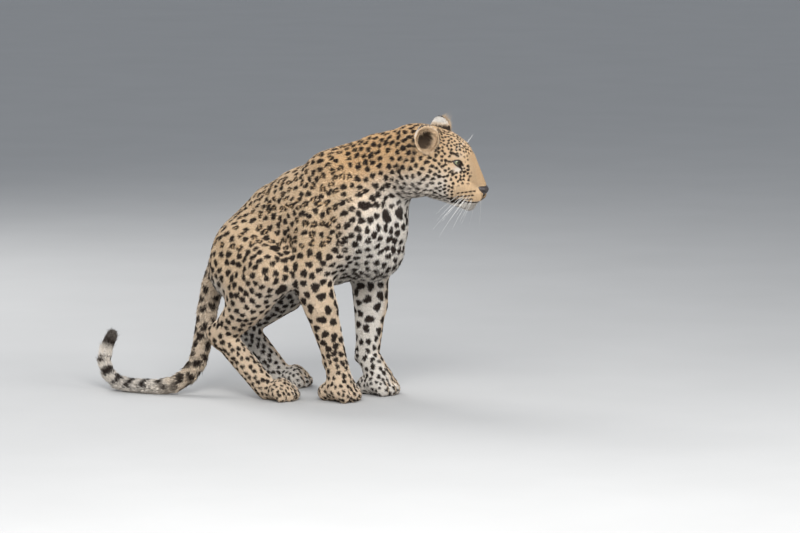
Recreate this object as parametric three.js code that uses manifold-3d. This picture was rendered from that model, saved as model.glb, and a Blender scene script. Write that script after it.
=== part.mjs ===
// A life-size leopard, half crouched with its weight on straight forelegs.
// Units are millimetres. +X is the way it faces, +Y its left side, +Z up, and the floor is z = 0.
// Each muscle mass is a tapered capsule or an ellipsoid in a distance field, the masses melt into
// each other by a smooth minimum, and each named sub-part is a closed skin wrapped round that field.
import * as THREE from "three";
import { mergeVertices } from "three/addons/utils/BufferGeometryUtils.js";
import Module from "manifold-3d";

const wasm = await Module();
wasm.setup();

// Driving dimensions
const GAP = 0.3; // kept between sub-parts that touch
const SUNK = 6; // how far a limb's skin dips under the body's where the two run side by side
const MARCH = 1.5; // smallest step of a ray through the field
const LEFT = 1;
const RIGHT = -1;

// The trunk, from rump to breast: place, radius, and width as a share of the radius.
const TRUNK = [
  { at: [-298, 0, 272], r: 56, k: 0.95 },
  { at: [-255, 0, 350], r: 95, k: 0.84 },
  { at: [-180, 0, 412], r: 104, k: 0.86 },
  { at: [-118, 0, 436], r: 116, k: 0.85 },
  { at: [-30, 0, 444], r: 138, k: 0.73 },
  { at: [26, 0, 412], r: 108, k: 0.82 },
  { at: [42, 0, 366], r: 84, k: 0.92 },
];
const BELLY = [
  { at: [-210, 0, 318], r: 76, k: 1.05 },
  { at: [-70, 0, 362], r: 94, k: 1 },
];
const NECK = [
  { at: [-6, 0, 492], r: 106, k: 0.76 },
  { at: [75, 0, 549], r: 91, k: 0.84 },
  { at: [150, 0, 584], r: 76, k: 0.92 },
];

// The legs, for the left side; the right side mirrors y.
const SCAPULA = { top: [-52, 50, 537], point: [30, 74, 415], rTop: 43, rPoint: 62, k: 0.75 };
const TRICEPS = { at: [-75, 72, 445], r: 50 };
const HIP = { at: [-258, 60, 345], r: 80 };
const BUTTOCK = { at: [-268, 76, 298], fore: [-230, 104, 265], r: 70, rFore: 58 };
const FORE = {
  [RIGHT]: { elbow: [-80, 88, 318], mid: [-52, 83, 225], wrist: [-18, 73, 100], paw: [-12, 70], turn: 3 },
  [LEFT]: { elbow: [0, 88, 313], mid: [8, 80, 215], wrist: [8, 66, 95], paw: [32, 64], turn: -2 },
};
const HIND = {
  [RIGHT]: { hock: [-300, 105, 148], calf: [-225, 118, 225], ball: [-195, 110, 40], paw: [-152, 112], turn: 8 },
  [LEFT]: { hock: [-335, 105, 142], calf: [-232, 118, 225], ball: [-250, 108, 40], paw: [-212, 108], turn: 8 },
};
const KNEE = [-172, 122, 305];
const ELBOW_R = 46;
const FOREARM_R = 39;
const WRIST_R = 27.5;
const INSTEP = { ahead: 4, high: 44, r: 31, k: 1.05 }; // where the foreleg runs into the paw
const KNEE_R = 58;
const CALF_R = 47;
const HOCK_R = 29;
const BALL_R = 27;
const HEEL_BACK = 18; // how far the point of the heel stands behind the hock
const HEEL_R = 20;
const HIND_PAW_SIZE = 0.94; // hind paw against forepaw
const WRIST_CUT = 60; // height where the foreleg ends and the paw begins
const BALL_CUT = 52; // the same on the hind leg

// One paw: a pad body and four toes, the middle two further forward.
const PAW = { back: [-30, 0, 20], front: [10, 0, 28], rBack: 22, rFront: 29, width: 1.2 };
const TOE = { pitch: 18, fan: 3, root: [6, 26], tip: 14, long: 40, short: 30, rRoot: 16.5, rTip: 15 };

// The tail: it drops from the rump, lies along the floor and hooks up at its tip.
const TAIL = [
  { at: [-300, 0, 350], r: 40 },
  { at: [-342, 0, 314], r: 33 },
  { at: [-364, -10, 258], r: 28 },
  { at: [-371, -28, 205], r: 24.5 },
  { at: [-370, -50, 155], r: 23 },
  { at: [-369, -70, 115], r: 22 },
  { at: [-371, -90, 78], r: 21.5 },
  { at: [-387, -108, 47], r: 20.5 },
  { at: [-415, -122, 26], r: 19.5 },
  { at: [-451, -130, 18], r: 18.5 },
  { at: [-491, -132, 17], r: 17.5 },
  { at: [-532, -128, 17], r: 17 },
  { at: [-569, -120, 20.5], r: 16.5 },
  { at: [-598, -112, 38], r: 16 },
  { at: [-612, -106, 66], r: 16 },
  { at: [-610, -102, 96], r: 15.5 },
  { at: [-596, -100, 128], r: 13 },
];
const TAIL_RINGS = 40;
const TAIL_PARTS = [
  { name: "tail_base", from: 0, to: 0.36 },
  { name: "tail_middle", from: 0.36, to: 0.7 },
  { name: "tail_tip", from: 0.7, to: 1 },
];

// The head, in its own frame: x to the nose, y left, z up, from a point between the jaw hinges.
const HEAD = { at: [198, 4, 578], yaw: 4, roll: 5 };
const SKULL = [
  { at: [-5, 0, 10], r: [80, 64, 66] }, // braincase
  { at: [40, 0, 15], r: [50, 46, 48] }, // forehead
  { at: [12, 38, -30], r: [56, 36, 42] }, // cheekbone
  { at: [-28, 45, -33], r: [45, 34, 43] }, // jaw muscle
  { at: [46, 0, -46], r: [48, 33, 30] }, // palate and tongue, which fill the middle
];
const BROW = { at: [63, 26, 22], r: [24, 18, 17] };
const WHISKER_PAD = { at: [97, 18, -77], r: [31, 22, 22], pitch: 12 };
const CHEEK = { at: [54, 33, -56], r: [40, 26, 27] };
const BRIDGE = { top: [83, 0, 2], tip: [114, 0, -60], rTop: 26.5, rTip: 20.5, k: 0.95 };
const JAW = { chin: [90, 3, -101], hinge: [20, 15, -66], rChin: 16.5, rHinge: 25 };
const EYE = { at: [64, 33.5, 4.5], r: 15, out: 24, down: 8, long: 13.5, high: 6.8, tilt: 16, lid: 2.2 };
const EAR = { at: [8, 58, 61], deep: 25, wide: 31, high: 35, out: 56, wall: 4, open: 11, lean: 16 };
const NOSE = { at: [121, 0, -63], deep: 14, wide: 19, high: 14, pitch: 25 };
const NOSTRIL = { ahead: 11, out: 9.5, down: 3, r: [9, 4.2, 3], turn: 30, pitch: 10, roll: 20 };
const MOUTH = { r: 1.9, out: 0.5, path: [[124, 0, -91], [115, 18, -92], [95, 31, -91], [70, 40, -87], [56, 43, -82]] };

// The planes that part neck from trunk and head from neck: a point, and the way the front part lies.
const THROAT = { at: [62, 0, 500], to: [0.75, 0, 0.66] };
const NAPE = { at: [-35, 0, -15], to: [0.949, 0, 0.316] };

const LOOK = {
  coat: { color: 0xcaa473, roughness: 0.85 },
  pale: { color: 0xd9cdb8, roughness: 0.85 },
  dark: { color: 0x3a2b22, roughness: 0.5 },
  iris: { color: 0x8d9a6a, roughness: 0.15 },
};

// Small vector helpers on arrays
const sub = (a, b) => [a[0] - b[0], a[1] - b[1], a[2] - b[2]];
const madd = (a, d, t) => [a[0] + d[0] * t, a[1] + d[1] * t, a[2] + d[2] * t];
const dot = (a, b) => a[0] * b[0] + a[1] * b[1] + a[2] * b[2];
const flip = (a, side) => [a[0], a[1] * side, a[2]];
const rad = THREE.MathUtils.degToRad;

// Distance to a capsule from a to b whose radius runs from ra to rb and whose width is k times its height.
function capsule(p, a, b, ra, rb, k = 1, kb = k) {
  const ab = sub(b, a);
  const t = Math.min(1, Math.max(0, dot(sub(p, a), ab) / dot(ab, ab)));
  const q = sub(p, madd(a, ab, t));
  const wide = k + (kb - k) * t;
  const d = Math.hypot(q[0], q[1] / wide, q[2]) - (ra + (rb - ra) * t);
  return d * Math.min(1, wide);
}

// Distance, near enough, to an ellipsoid that is tipped nose up by pitch.
function ellipsoid(p, c, r, pitch = 0) {
  const d = sub(p, c);
  const s = Math.sin(pitch);
  const co = Math.cos(pitch);
  const q = [d[0] * co - d[2] * s, d[1], d[0] * s + d[2] * co];
  const k0 = Math.hypot(q[0] / r[0], q[1] / r[1], q[2] / r[2]) + 1e-9;
  const k1 = Math.hypot(q[0] / r[0] ** 2, q[1] / r[1] ** 2, q[2] / r[2] ** 2) + 1e-9;
  return (k0 * (k0 - 1)) / k1;
}

// The smaller of two distances, rounded over a width k where they are near each other.
function melt(a, b, k) {
  const h = Math.max(k - Math.abs(a - b), 0) / k;
  return Math.min(a, b) - (h * h * k) / 4;
}
const meltAll = (list, k) => list.reduce((a, b) => melt(a, b, k));

// A row of capsules through the stations.
function chain(p, stations) {
  let best = Infinity;
  for (let i = 0; i + 1 < stations.length; i++) {
    const [a, b] = [stations[i], stations[i + 1]];
    best = Math.min(best, capsule(p, a.at, b.at, a.r, b.r, a.k ?? 1, b.k ?? 1));
  }
  return best;
}

// The masses of the body
const trunkField = (p) => melt(chain(p, TRUNK), chain(p, BELLY), 50);
const neckField = (p) => chain(p, NECK);

function shoulderField(p, side) {
  const elbow = flip(FORE[side].elbow, side);
  const point = flip(SCAPULA.point, side);
  return meltAll(
    [
      capsule(p, flip(SCAPULA.top, side), point, SCAPULA.rTop, SCAPULA.rPoint, SCAPULA.k),
      capsule(p, point, elbow, SCAPULA.rPoint - 3, ELBOW_R),
      capsule(p, flip(TRICEPS.at, side), elbow, TRICEPS.r, ELBOW_R - 2),
    ],
    30,
  );
}

function forearmField(p, side) {
  const leg = FORE[side];
  const rows = [
    { at: flip(leg.elbow, side), r: ELBOW_R },
    { at: flip(leg.mid, side), r: FOREARM_R },
    { at: flip(leg.wrist, side), r: WRIST_R },
    { at: [leg.paw[0] + INSTEP.ahead, leg.paw[1] * side, INSTEP.high], r: INSTEP.r, k: INSTEP.k },
  ];
  return chain(p, rows);
}

function thighField(p, side) {
  const knee = flip(KNEE, side);
  return melt(
    capsule(p, flip(HIP.at, side), knee, HIP.r, KNEE_R),
    capsule(p, flip(BUTTOCK.at, side), flip(BUTTOCK.fore, side), BUTTOCK.r, BUTTOCK.rFore),
    30,
  );
}

function shankField(p, side) {
  const leg = HIND[side];
  const rows = [
    { at: flip(KNEE, side), r: KNEE_R - 3 },
    { at: flip(leg.calf, side), r: CALF_R },
    { at: flip(leg.hock, side), r: HOCK_R },
  ];
  return chain(p, rows);
}

function metatarsusField(p, side) {
  const leg = HIND[side];
  const hock = flip(leg.hock, side);
  return melt(
    capsule(p, hock, flip(leg.ball, side), HOCK_R, BALL_R, 1, 1.1),
    capsule(p, hock, madd(hock, [-1, 0, 0.4], HEEL_BACK), HOCK_R - 2, HEEL_R),
    18,
  );
}

const tailField = (p) => chain(p, TAIL);

// The skull and face, in the head's frame; m is the point mirrored to the left side.
function headField(p) {
  const m = [p[0], Math.abs(p[1]), p[2]];
  const skull = meltAll(SKULL.map(({ at, r }) => ellipsoid(m, at, r)), 30);
  const face = meltAll(
    [
      ellipsoid(m, BROW.at, BROW.r),
      capsule(p, BRIDGE.top, BRIDGE.tip, BRIDGE.rTop, BRIDGE.rTip, 1, BRIDGE.k),
      ellipsoid(m, WHISKER_PAD.at, WHISKER_PAD.r, rad(WHISKER_PAD.pitch)),
      ellipsoid(m, CHEEK.at, CHEEK.r),
      capsule(m, JAW.chin, JAW.hinge, JAW.rChin, JAW.rHinge),
      Math.hypot(...sub(m, EYE.at)) - EYE.r - EYE.lid,
    ],
    16,
  );
  return melt(skull, face, 20);
}

const headFrame = new THREE.Matrix4()
  .makeRotationZ(rad(HEAD.yaw))
  .multiply(new THREE.Matrix4().makeRotationX(rad(HEAD.roll)))
  .setPosition(...HEAD.at);
const headInverse = headFrame.clone().invert();
const toHead = (p) => new THREE.Vector3(...p).applyMatrix4(headInverse).toArray();
const fromHead = (p) => new THREE.Vector3(...p).applyMatrix4(headFrame).toArray();

// How far a ray from o along d runs inside the field, at most reach.
function exit(field, o, d, reach) {
  let t = 0;
  let inner = 0;
  for (;;) {
    const f = field(madd(o, d, t));
    if (f > 0) break;
    inner = t;
    t += Math.max(MARCH, -f * 0.8);
    if (t >= reach) {
      if (field(madd(o, d, reach)) <= 0) return reach;
      t = reach;
      break;
    }
  }
  let outer = t;
  for (let i = 0; i < 14; i++) {
    const mid = (inner + outer) / 2;
    if (field(madd(o, d, mid)) > 0) outer = mid;
    else inner = mid;
  }
  return Math.max(inner, 0.5);
}

// A closed skin round an axis: rings of rays square to the axis, and a fan of rays round each end.
// Each ray stops at the field's surface or at its reach; cap is the reach of the fans, if it is another.
function wrap(field, axis, { rings, sides, ends, reach, cap, up = [0, 0, 1], grow = 0 }) {
  const curve = new THREE.CatmullRomCurve3(axis.map((a) => new THREE.Vector3(...a)), false, "centripetal");
  const upright = new THREE.Vector3(...up);
  const rows = [];
  for (let i = -ends; i <= rings + ends; i++) {
    const u = Math.min(1, Math.max(0, i / rings));
    const over = i < 0 ? i / (ends + 1) : i > rings ? (i - rings) / (ends + 1) : 0;
    rows.push({ u, tilt: (over * Math.PI) / 2 });
  }
  const solid = (p) => field(p) - grow;
  const body = typeof reach === "function" ? reach : () => reach;
  const limit = (u, tilt) => (tilt && cap !== undefined ? cap : body(u));
  const cast = (u, tilt, around) => {
    const tangent = curve.getTangentAt(u);
    const side = new THREE.Vector3().crossVectors(upright, tangent).normalize();
    const top = new THREE.Vector3().crossVectors(tangent, side);
    const ray = side
      .multiplyScalar(Math.cos(around) * Math.cos(tilt))
      .addScaledVector(top, Math.sin(around) * Math.cos(tilt))
      .addScaledVector(tangent, Math.sin(tilt))
      .toArray();
    const from = curve.getPointAt(u).toArray();
    return madd(from, ray, exit(solid, from, ray, limit(u, tilt) + grow));
  };
  const points = [cast(0, -Math.PI / 2, 0)];
  for (const { u, tilt } of rows)
    for (let j = 0; j < sides; j++) points.push(cast(u, tilt, (2 * Math.PI * (j + 0.5)) / sides));
  points.push(cast(1, Math.PI / 2, 0));
  const faces = [];
  const last = points.length - 1;
  const at = (i, j) => 1 + i * sides + (j % sides);
  for (let j = 0; j < sides; j++) {
    faces.push(0, at(0, j + 1), at(0, j), last, at(rows.length - 1, j), at(rows.length - 1, j + 1));
    for (let i = 0; i + 1 < rows.length; i++) {
      const [a, b, c, d] = [at(i, j), at(i, j + 1), at(i + 1, j + 1), at(i + 1, j)];
      faces.push(a, b, c, a, c, d);
    }
  }
  return new wasm.Manifold(
    new wasm.Mesh({ numProp: 3, vertProperties: new Float32Array(points.flat()), triVerts: new Uint32Array(faces) }),
  );
}

// A three.js geometry, placed by a matrix, as a solid.
function solidOf(geometry, matrix = new THREE.Matrix4()) {
  const bare = geometry.clone().applyMatrix4(matrix);
  bare.deleteAttribute("normal");
  bare.deleteAttribute("uv");
  const merged = mergeVertices(bare, 1e-3);
  return new wasm.Manifold(
    new wasm.Mesh({
      numProp: 3,
      vertProperties: merged.attributes.position.array,
      triVerts: new Uint32Array(merged.index.array),
    }),
  );
}

// A frame at a point of the head whose x axis turns out by out, and down by down, and rolls by roll.
function headSpot(at, side, out, down, roll) {
  return headFrame
    .clone()
    .multiply(new THREE.Matrix4().makeTranslation(at[0], at[1] * side, at[2]))
    .multiply(new THREE.Matrix4().makeRotationZ(rad(out) * side))
    .multiply(new THREE.Matrix4().makeRotationY(rad(down)))
    .multiply(new THREE.Matrix4().makeRotationX(rad(roll) * side));
}

function ball(matrix, radii, wide = 24, high = 16) {
  const scaled = matrix.clone().multiply(new THREE.Matrix4().makeScale(...radii));
  return solidOf(new THREE.SphereGeometry(1, wide, high), scaled);
}

// A plane as a unit normal and an offset, moved by a distance along its normal
function planeOf({ at, to }, move = 0) {
  const length = Math.hypot(...to);
  const normal = to.map((c) => c / length);
  return { normal, offset: dot(normal, at) + move };
}
const throat = planeOf(THROAT);
const nape = planeOf({
  at: fromHead(NAPE.at),
  to: sub(fromHead(NAPE.to), fromHead([0, 0, 0])),
});
const ahead = (solid, plane) => solid.trimByPlane(plane.normal, plane.offset + GAP / 2);
const behind = (solid, plane) => solid.trimByPlane(plane.normal.map((c) => -c), GAP / 2 - plane.offset);

// The trunk, as far as the throat
const bodyField = (p) => melt(trunkField(p), neckField(p), 50);
function torso(grow) {
  const axis = [[-285, 0, 320], [-190, 0, 385], [-100, 0, 420], [44, 0, 425]];
  const made = wrap(bodyField, axis, { rings: 21, sides: 28, ends: 4, reach: 190, grow });
  return behind(made, { normal: throat.normal, offset: throat.offset + grow });
}

// The neck, from the throat to the nape
function neck(grow) {
  const field = (p) => melt(bodyField(p), headField(toHead(p)), 40);
  const axis = [[28, 0, 470], [85, 0, 540], [172, 2, 572]];
  const made = wrap(field, axis, { rings: 11, sides: 26, ends: 2, reach: 170, cap: 50, grow });
  return behind(ahead(made, { normal: throat.normal, offset: throat.offset - grow }), nape);
}

// The almond-shaped opening between the lids, as a prism that points out of the head.
function eyeOpening(side) {
  const almond = new THREE.Shape();
  const corner = EYE.long * side;
  almond.moveTo(-corner, -1.5);
  almond.quadraticCurveTo(-corner * 0.3, EYE.high * 1.9, corner, 2);
  almond.quadraticCurveTo(corner * 0.3, -EYE.high * 1.9, -corner, -1.5);
  const prism = new THREE.ExtrudeGeometry(almond, { depth: 60, bevelEnabled: false, curveSegments: 8 });
  const turn = new THREE.Matrix4().makeBasis(
    new THREE.Vector3(0, 1, 0),
    new THREE.Vector3(0, 0, 1),
    new THREE.Vector3(1, 0, 0),
  );
  return solidOf(prism, headSpot(EYE.at, side, EYE.out, EYE.down, EYE.tilt).multiply(turn));
}

// The line of the mouth: a fine groove that runs round the muzzle from corner to corner.
function mouthLine() {
  const half = MOUTH.path.slice(1);
  const points = [...half.map((q) => flip(q, RIGHT)).reverse(), MOUTH.path[0], ...half];
  const curve = new THREE.CatmullRomCurve3(points.map((q) => new THREE.Vector3(...q)));
  const onSkin = Array.from({ length: 25 }, (_, i) => {
    const q = curve.getPointAt(i / 24).toArray();
    const inside = [Math.min(q[0] - 22, 84), q[1] * 0.3, q[2]];
    const ray = new THREE.Vector3(...sub(q, inside)).normalize().toArray();
    return new THREE.Vector3(...madd(inside, ray, exit(headField, inside, ray, 90) + MOUTH.out));
  });
  const path = new THREE.CatmullRomCurve3(onSkin);
  const ring = new THREE.Shape().absarc(0, 0, MOUTH.r, 0, 2 * Math.PI);
  const tube = new THREE.ExtrudeGeometry(ring, { steps: 26, extrudePath: path, bevelEnabled: false, curveSegments: 3 });
  return solidOf(tube, headFrame);
}

// The head's shell, before its openings
function headShell(grow) {
  const field = (p) => melt(bodyField(p), headField(toHead(p)), 40);
  const axis = [[-50, 0, 2], [18, 0, -28], [84, 0, -62]].map(fromHead);
  return ahead(wrap(field, axis, { rings: 19, sides: 30, ends: 5, reach: 110, grow }), nape);
}

function head(grow) {
  if (grow) return headShell(grow);
  let made = headShell(0).subtract(mouthLine());
  for (const side of [LEFT, RIGHT]) made = made.subtract(eyeOpening(side)).subtract(eye(side)(GAP));
  return made;
}

const eye = (side) => (grow) => {
  const r = EYE.r + grow;
  return ball(headSpot(EYE.at, side, EYE.out, 0, 0), [r, r, r], 16, 10);
};

// The nose leather, with two nostrils that slant outwards
function nose(grow) {
  const radii = [NOSE.deep, NOSE.wide, NOSE.high].map((r) => r + grow);
  const pad = ball(headSpot(NOSE.at, LEFT, 0, NOSE.pitch, 0), radii, 14, 9);
  if (grow) return pad;
  let made = pad;
  for (const side of [LEFT, RIGHT]) {
    const at = [NOSE.at[0] + NOSTRIL.ahead, NOSTRIL.out, NOSE.at[2] - NOSTRIL.down];
    made = made.subtract(ball(headSpot(at, side, NOSTRIL.turn, NOSTRIL.pitch, NOSTRIL.roll), NOSTRIL.r, 10, 8));
  }
  return made;
}

// An ear: a rounded cup, open forwards and outwards
const ear = (side) => (grow) => {
  const place = headSpot(EAR.at, side, EAR.out, 0, 0).multiply(
    new THREE.Matrix4().makeRotationX(-rad(EAR.lean) * side),
  );
  const [deep, wide, high] = [EAR.deep, EAR.wide, EAR.high];
  const outer = ball(place, [deep + grow, wide + grow, high + grow], 15, 9);
  const inward = place.clone().multiply(new THREE.Matrix4().makeTranslation(EAR.open, 0, 2));
  const wall = EAR.wall + grow;
  return outer.subtract(ball(inward, [deep - wall + 2, wide - wall, high - wall], 15, 9));
};

// A foreleg, from the shoulder blade to the wrist
const foreleg = (side) => (grow) => {
  const leg = FORE[side];
  const upper = (p) => melt(bodyField(p) + SUNK, shoulderField(p, side), 35);
  const field = (p) => melt(upper(p), forearmField(p, side), 20);
  const path = [
    [-35, 52, 540],
    [-22, 72, 450],
    [leg.elbow[0] + 12, 86, 350],
    leg.elbow,
    leg.mid,
    leg.wrist,
    [leg.paw[0], leg.paw[1], 45],
  ].map((a) => flip(a, side));
  const reach = (u) => (u < 0.4 ? 92 : 58);
  const made = wrap(field, path, { rings: 20, sides: 15, ends: 2, reach, cap: 60, up: [1, 0, 0], grow });
  return made.trimByPlane([0, 0, 1], WRIST_CUT - grow);
};

// A paw at a place on the floor, turned out a little and scaled
const paw = (place, side, size, cut, heel) => (grow) => {
  const turn = rad(place.turn) * side;
  const toFloor = (q) => [
    place.paw[0] + size * (q[0] * Math.cos(turn) - q[1] * Math.sin(turn)),
    place.paw[1] * side + size * (q[0] * Math.sin(turn) + q[1] * Math.cos(turn)),
    size * q[2],
  ];
  const [back, front] = [toFloor(PAW.back), toFloor(PAW.front)];
  const pad = (p) =>
    melt(capsule(p, back, front, PAW.rBack * size, PAW.rFront * size, PAW.width), heel(p), 18);
  let made = wrap(pad, [back, front], { rings: 3, sides: 12, ends: 3, reach: 70, grow });
  for (const j of [-1.5, -0.5, 0.5, 1.5]) {
    const forward = Math.abs(j) < 1 ? TOE.long : TOE.short;
    const root = toFloor([TOE.root[0], j * TOE.pitch, TOE.root[1]]);
    const tip = toFloor([forward, j * (TOE.pitch + TOE.fan), TOE.tip]);
    const toe = (p) => capsule(p, root, tip, TOE.rRoot * size, TOE.rTip * size);
    made = made.add(wrap(toe, [root, tip], { rings: 1, sides: 8, ends: 2, reach: 40, grow }));
  }
  return made.trimByPlane([0, 0, -1], -(cut - GAP + grow));
};

const forepaw = (side) => paw(FORE[side], side, 1, WRIST_CUT, (p) => forearmField(p, side));
const hindpaw = (side) => paw(HIND[side], side, HIND_PAW_SIZE, BALL_CUT, (p) => metatarsusField(p, side));

// A hind leg: thigh, shank and metatarsus, each dipping under the one before it
const hindleg = (side) => (grow) => {
  const leg = HIND[side];
  const hip = (p) => melt(trunkField(p) + SUNK, thighField(p, side), 35);
  const calf = (p) => melt(thighField(p, side) + SUNK, shankField(p, side), 30);
  const sole = (p) => melt(shankField(p, side) + SUNK / 2, metatarsusField(p, side), 15);
  const path = (points) => points.map((a) => flip(a, side));
  const thighPath = path([[-280, 66, 325], [-230, 92, 305], [KNEE[0] - 8, KNEE[1] - 4, KNEE[2]]]);
  const shankPath = path([[KNEE[0] - 15, KNEE[1], KNEE[2] - 15], leg.calf, leg.hock]);
  const solePath = path([madd(leg.hock, [-1, 0, 1], 6), leg.ball]);
  const thigh = wrap(hip, thighPath, { rings: 7, sides: 18, ends: 4, reach: 108, grow });
  const shank = wrap(calf, shankPath, { rings: 7, sides: 12, ends: 2, reach: 56, grow });
  const foot = wrap(sole, solePath, { rings: 6, sides: 10, ends: 2, reach: 44, grow });
  return thigh.add(shank).add(foot).trimByPlane([0, 0, 1], BALL_CUT - grow);
};

// One length of the tail; u runs from 0 at the root to 1 at the tip, and a cut end is flat.
const tail = (from, to) => (grow) => {
  const whole = new THREE.CatmullRomCurve3(TAIL.map((s) => new THREE.Vector3(...s.at)), false, "centripetal");
  const count = Math.round((to - from) * TAIL_RINGS);
  const start = from + (from > 0 ? GAP / whole.getLength() : 0);
  const axis = Array.from({ length: count + 1 }, (_, i) =>
    whole.getPointAt(start + ((to - start) * i) / count).toArray(),
  );
  const last = to === 1;
  const made = { rings: count, sides: 10, ends: last ? 2 : 0, reach: 48, up: [0, 1, 0.02], grow };
  return wrap(tailField, axis, last ? made : { ...made, cap: 0 });
};

// Every sub-part in the order in which each gives way to those before it
const PARTS = [
  ["torso", torso, LOOK.coat],
  ["eye_left", eye(LEFT), LOOK.iris],
  ["eye_right", eye(RIGHT), LOOK.iris],
  ["nose", nose, LOOK.dark],
  ["head", head, LOOK.coat],
  ["ear_left", ear(LEFT), LOOK.coat],
  ["ear_right", ear(RIGHT), LOOK.coat],
  ["neck", neck, LOOK.coat],
  ["foreleg_left", foreleg(LEFT), LOOK.coat],
  ["foreleg_right", foreleg(RIGHT), LOOK.coat],
  ["forepaw_left", forepaw(LEFT), LOOK.pale],
  ["forepaw_right", forepaw(RIGHT), LOOK.pale],
  ["hindleg_left", hindleg(LEFT), LOOK.coat],
  ["hindleg_right", hindleg(RIGHT), LOOK.coat],
  ["hindpaw_left", hindpaw(LEFT), LOOK.pale],
  ["hindpaw_right", hindpaw(RIGHT), LOOK.pale],
  ...TAIL_PARTS.map(({ name, from, to }) => [name, tail(from, to), LOOK.pale]),
];

const leopard = new THREE.Group();
const done = [];
for (const [name, build, look] of PARTS) {
  let solid = build(0).trimByPlane([0, 0, 1], 0);
  for (const other of done) solid = solid.subtract(other);
  const largest = solid.decompose().sort((a, b) => b.volume() - a.volume())[0];
  done.push(build(GAP));
  const { numProp, vertProperties, triVerts } = largest.getMesh();
  const geometry = new THREE.BufferGeometry();
  const places = Float32Array.from({ length: (vertProperties.length / numProp) * 3 }, (_, i) =>
    vertProperties[Math.floor(i / 3) * numProp + (i % 3)],
  );
  geometry.setAttribute("position", new THREE.BufferAttribute(places, 3));
  geometry.setIndex(new THREE.BufferAttribute(triVerts, 1));
  const mesh = new THREE.Mesh(geometry, new THREE.MeshStandardMaterial(look));
  mesh.name = name;
  leopard.add(mesh);
}

// The origin stands on the floor, at the middle of the whole animal's length and width.
const box = new THREE.Box3().setFromObject(leopard);
leopard.position.set(-(box.min.x + box.max.x) / 2, -(box.min.y + box.max.y) / 2, -box.min.z);

export default leopard;
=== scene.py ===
"""A life-size leopard, half crouched on its haunches, in its spotted coat.

The body is a distance field: tapered capsules and ellipsoids for its masses, melted together. The skin
is the field's zero surface, meshed by surface nets on a grid that is finer about the head. The coat is
some two hundred thousand thin tufts rooted on that skin, along the lie of the hair. Rosettes, spots and
bands are worked out from seeded centres on the skin and stored as attributes that the materials read.
Units are metres; +X is the way it faces, +Y its left side, +Z up, the floor z = 0.
"""

from math import cos, pi, radians, sin

import bpy
import numpy as np
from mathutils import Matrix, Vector


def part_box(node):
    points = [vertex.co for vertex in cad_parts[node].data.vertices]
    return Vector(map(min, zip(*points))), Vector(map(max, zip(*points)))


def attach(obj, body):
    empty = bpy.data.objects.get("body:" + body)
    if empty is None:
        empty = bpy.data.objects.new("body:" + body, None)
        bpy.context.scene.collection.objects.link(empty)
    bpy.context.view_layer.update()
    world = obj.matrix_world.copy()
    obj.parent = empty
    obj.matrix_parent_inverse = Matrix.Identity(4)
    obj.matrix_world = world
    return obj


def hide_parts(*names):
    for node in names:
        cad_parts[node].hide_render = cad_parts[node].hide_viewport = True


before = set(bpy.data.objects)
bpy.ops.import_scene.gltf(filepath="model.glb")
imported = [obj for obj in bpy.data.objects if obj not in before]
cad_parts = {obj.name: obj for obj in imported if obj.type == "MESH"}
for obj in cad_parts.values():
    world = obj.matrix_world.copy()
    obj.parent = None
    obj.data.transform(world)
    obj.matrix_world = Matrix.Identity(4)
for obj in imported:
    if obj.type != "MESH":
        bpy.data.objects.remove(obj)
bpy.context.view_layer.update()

MM = 0.001
RIGHT, LEFT = -1, 1
SEED = 20

# The camera: its bearing and height angle, its distance, the metres a photo pixel covers on the animal,
# and the pixel of the floor point between the forepaws in the 800 by 533 frame.
CAMERA_AZIMUTH = radians(22)
CAMERA_ELEVATION = radians(7)
CAMERA_DISTANCE = 12.0
METRES_PER_PIXEL = 0.0024
FRAME_PIXELS = (800, 533)
FLOOR_PIXEL = (354.4, 397.0)
SENSOR = 36.0

# Masses of the body in millimetres: place, radius, and width as a share of the radius.
TRUNK = [
    ((-298, 0, 272), 56, 0.95), ((-255, 0, 350), 95, 0.84), ((-180, 0, 412), 104, 0.86),
    ((-118, 0, 436), 116, 0.85), ((-30, 0, 444), 138, 0.73), ((26, 0, 412), 108, 0.82),
    ((42, 0, 366), 84, 0.92),
]
BELLY = [((-210, 0, 318), 76, 1.05), ((-70, 0, 362), 94, 1.0)]
NECK = [((-6, 0, 492), 106, 0.76), ((75, 0, 549), 91, 0.84), ((150, 0, 584), 76, 0.92)]
TAIL = [
    ((-300, 0, 350), 40), ((-342, 0, 314), 33), ((-364, -10, 258), 28), ((-371, -28, 205), 24.5),
    ((-370, -50, 155), 23), ((-369, -70, 115), 22), ((-371, -90, 78), 21.5), ((-387, -108, 47), 20.5),
    ((-415, -122, 26), 19.5), ((-451, -130, 18), 18.5), ((-491, -132, 17), 17.5), ((-532, -128, 17), 17),
    ((-569, -120, 20.5), 16.5), ((-598, -112, 38), 16), ((-612, -106, 66), 16), ((-610, -102, 96), 15.5),
    ((-596, -100, 128), 13),
]
SCAPULA_TOP, SHOULDER_POINT, TRICEPS = (-52, 50, 537), (30, 74, 415), (-75, 72, 445)
HIP, KNEE = (-258, 60, 345), (-172, 122, 305)
BUTTOCK, BUTTOCK_FORE = (-268, 76, 298), (-230, 104, 265)
FORELEG = {
    RIGHT: dict(elbow=(-80, 88, 318), mid=(-52, 83, 225), wrist=(-18, 73, 100), paw=(-12, 70), turn=3),
    LEFT: dict(elbow=(0, 88, 313), mid=(8, 80, 215), wrist=(8, 66, 95), paw=(32, 64), turn=-2),
}
HINDLEG = {
    RIGHT: dict(hock=(-300, 105, 148), calf=(-225, 118, 225), ball=(-195, 110, 40), paw=(-152, 112), turn=8),
    LEFT: dict(hock=(-335, 105, 142), calf=(-232, 118, 225), ball=(-250, 108, 40), paw=(-212, 108), turn=8),
}
HIND_PAW_SIZE = 0.94

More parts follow.
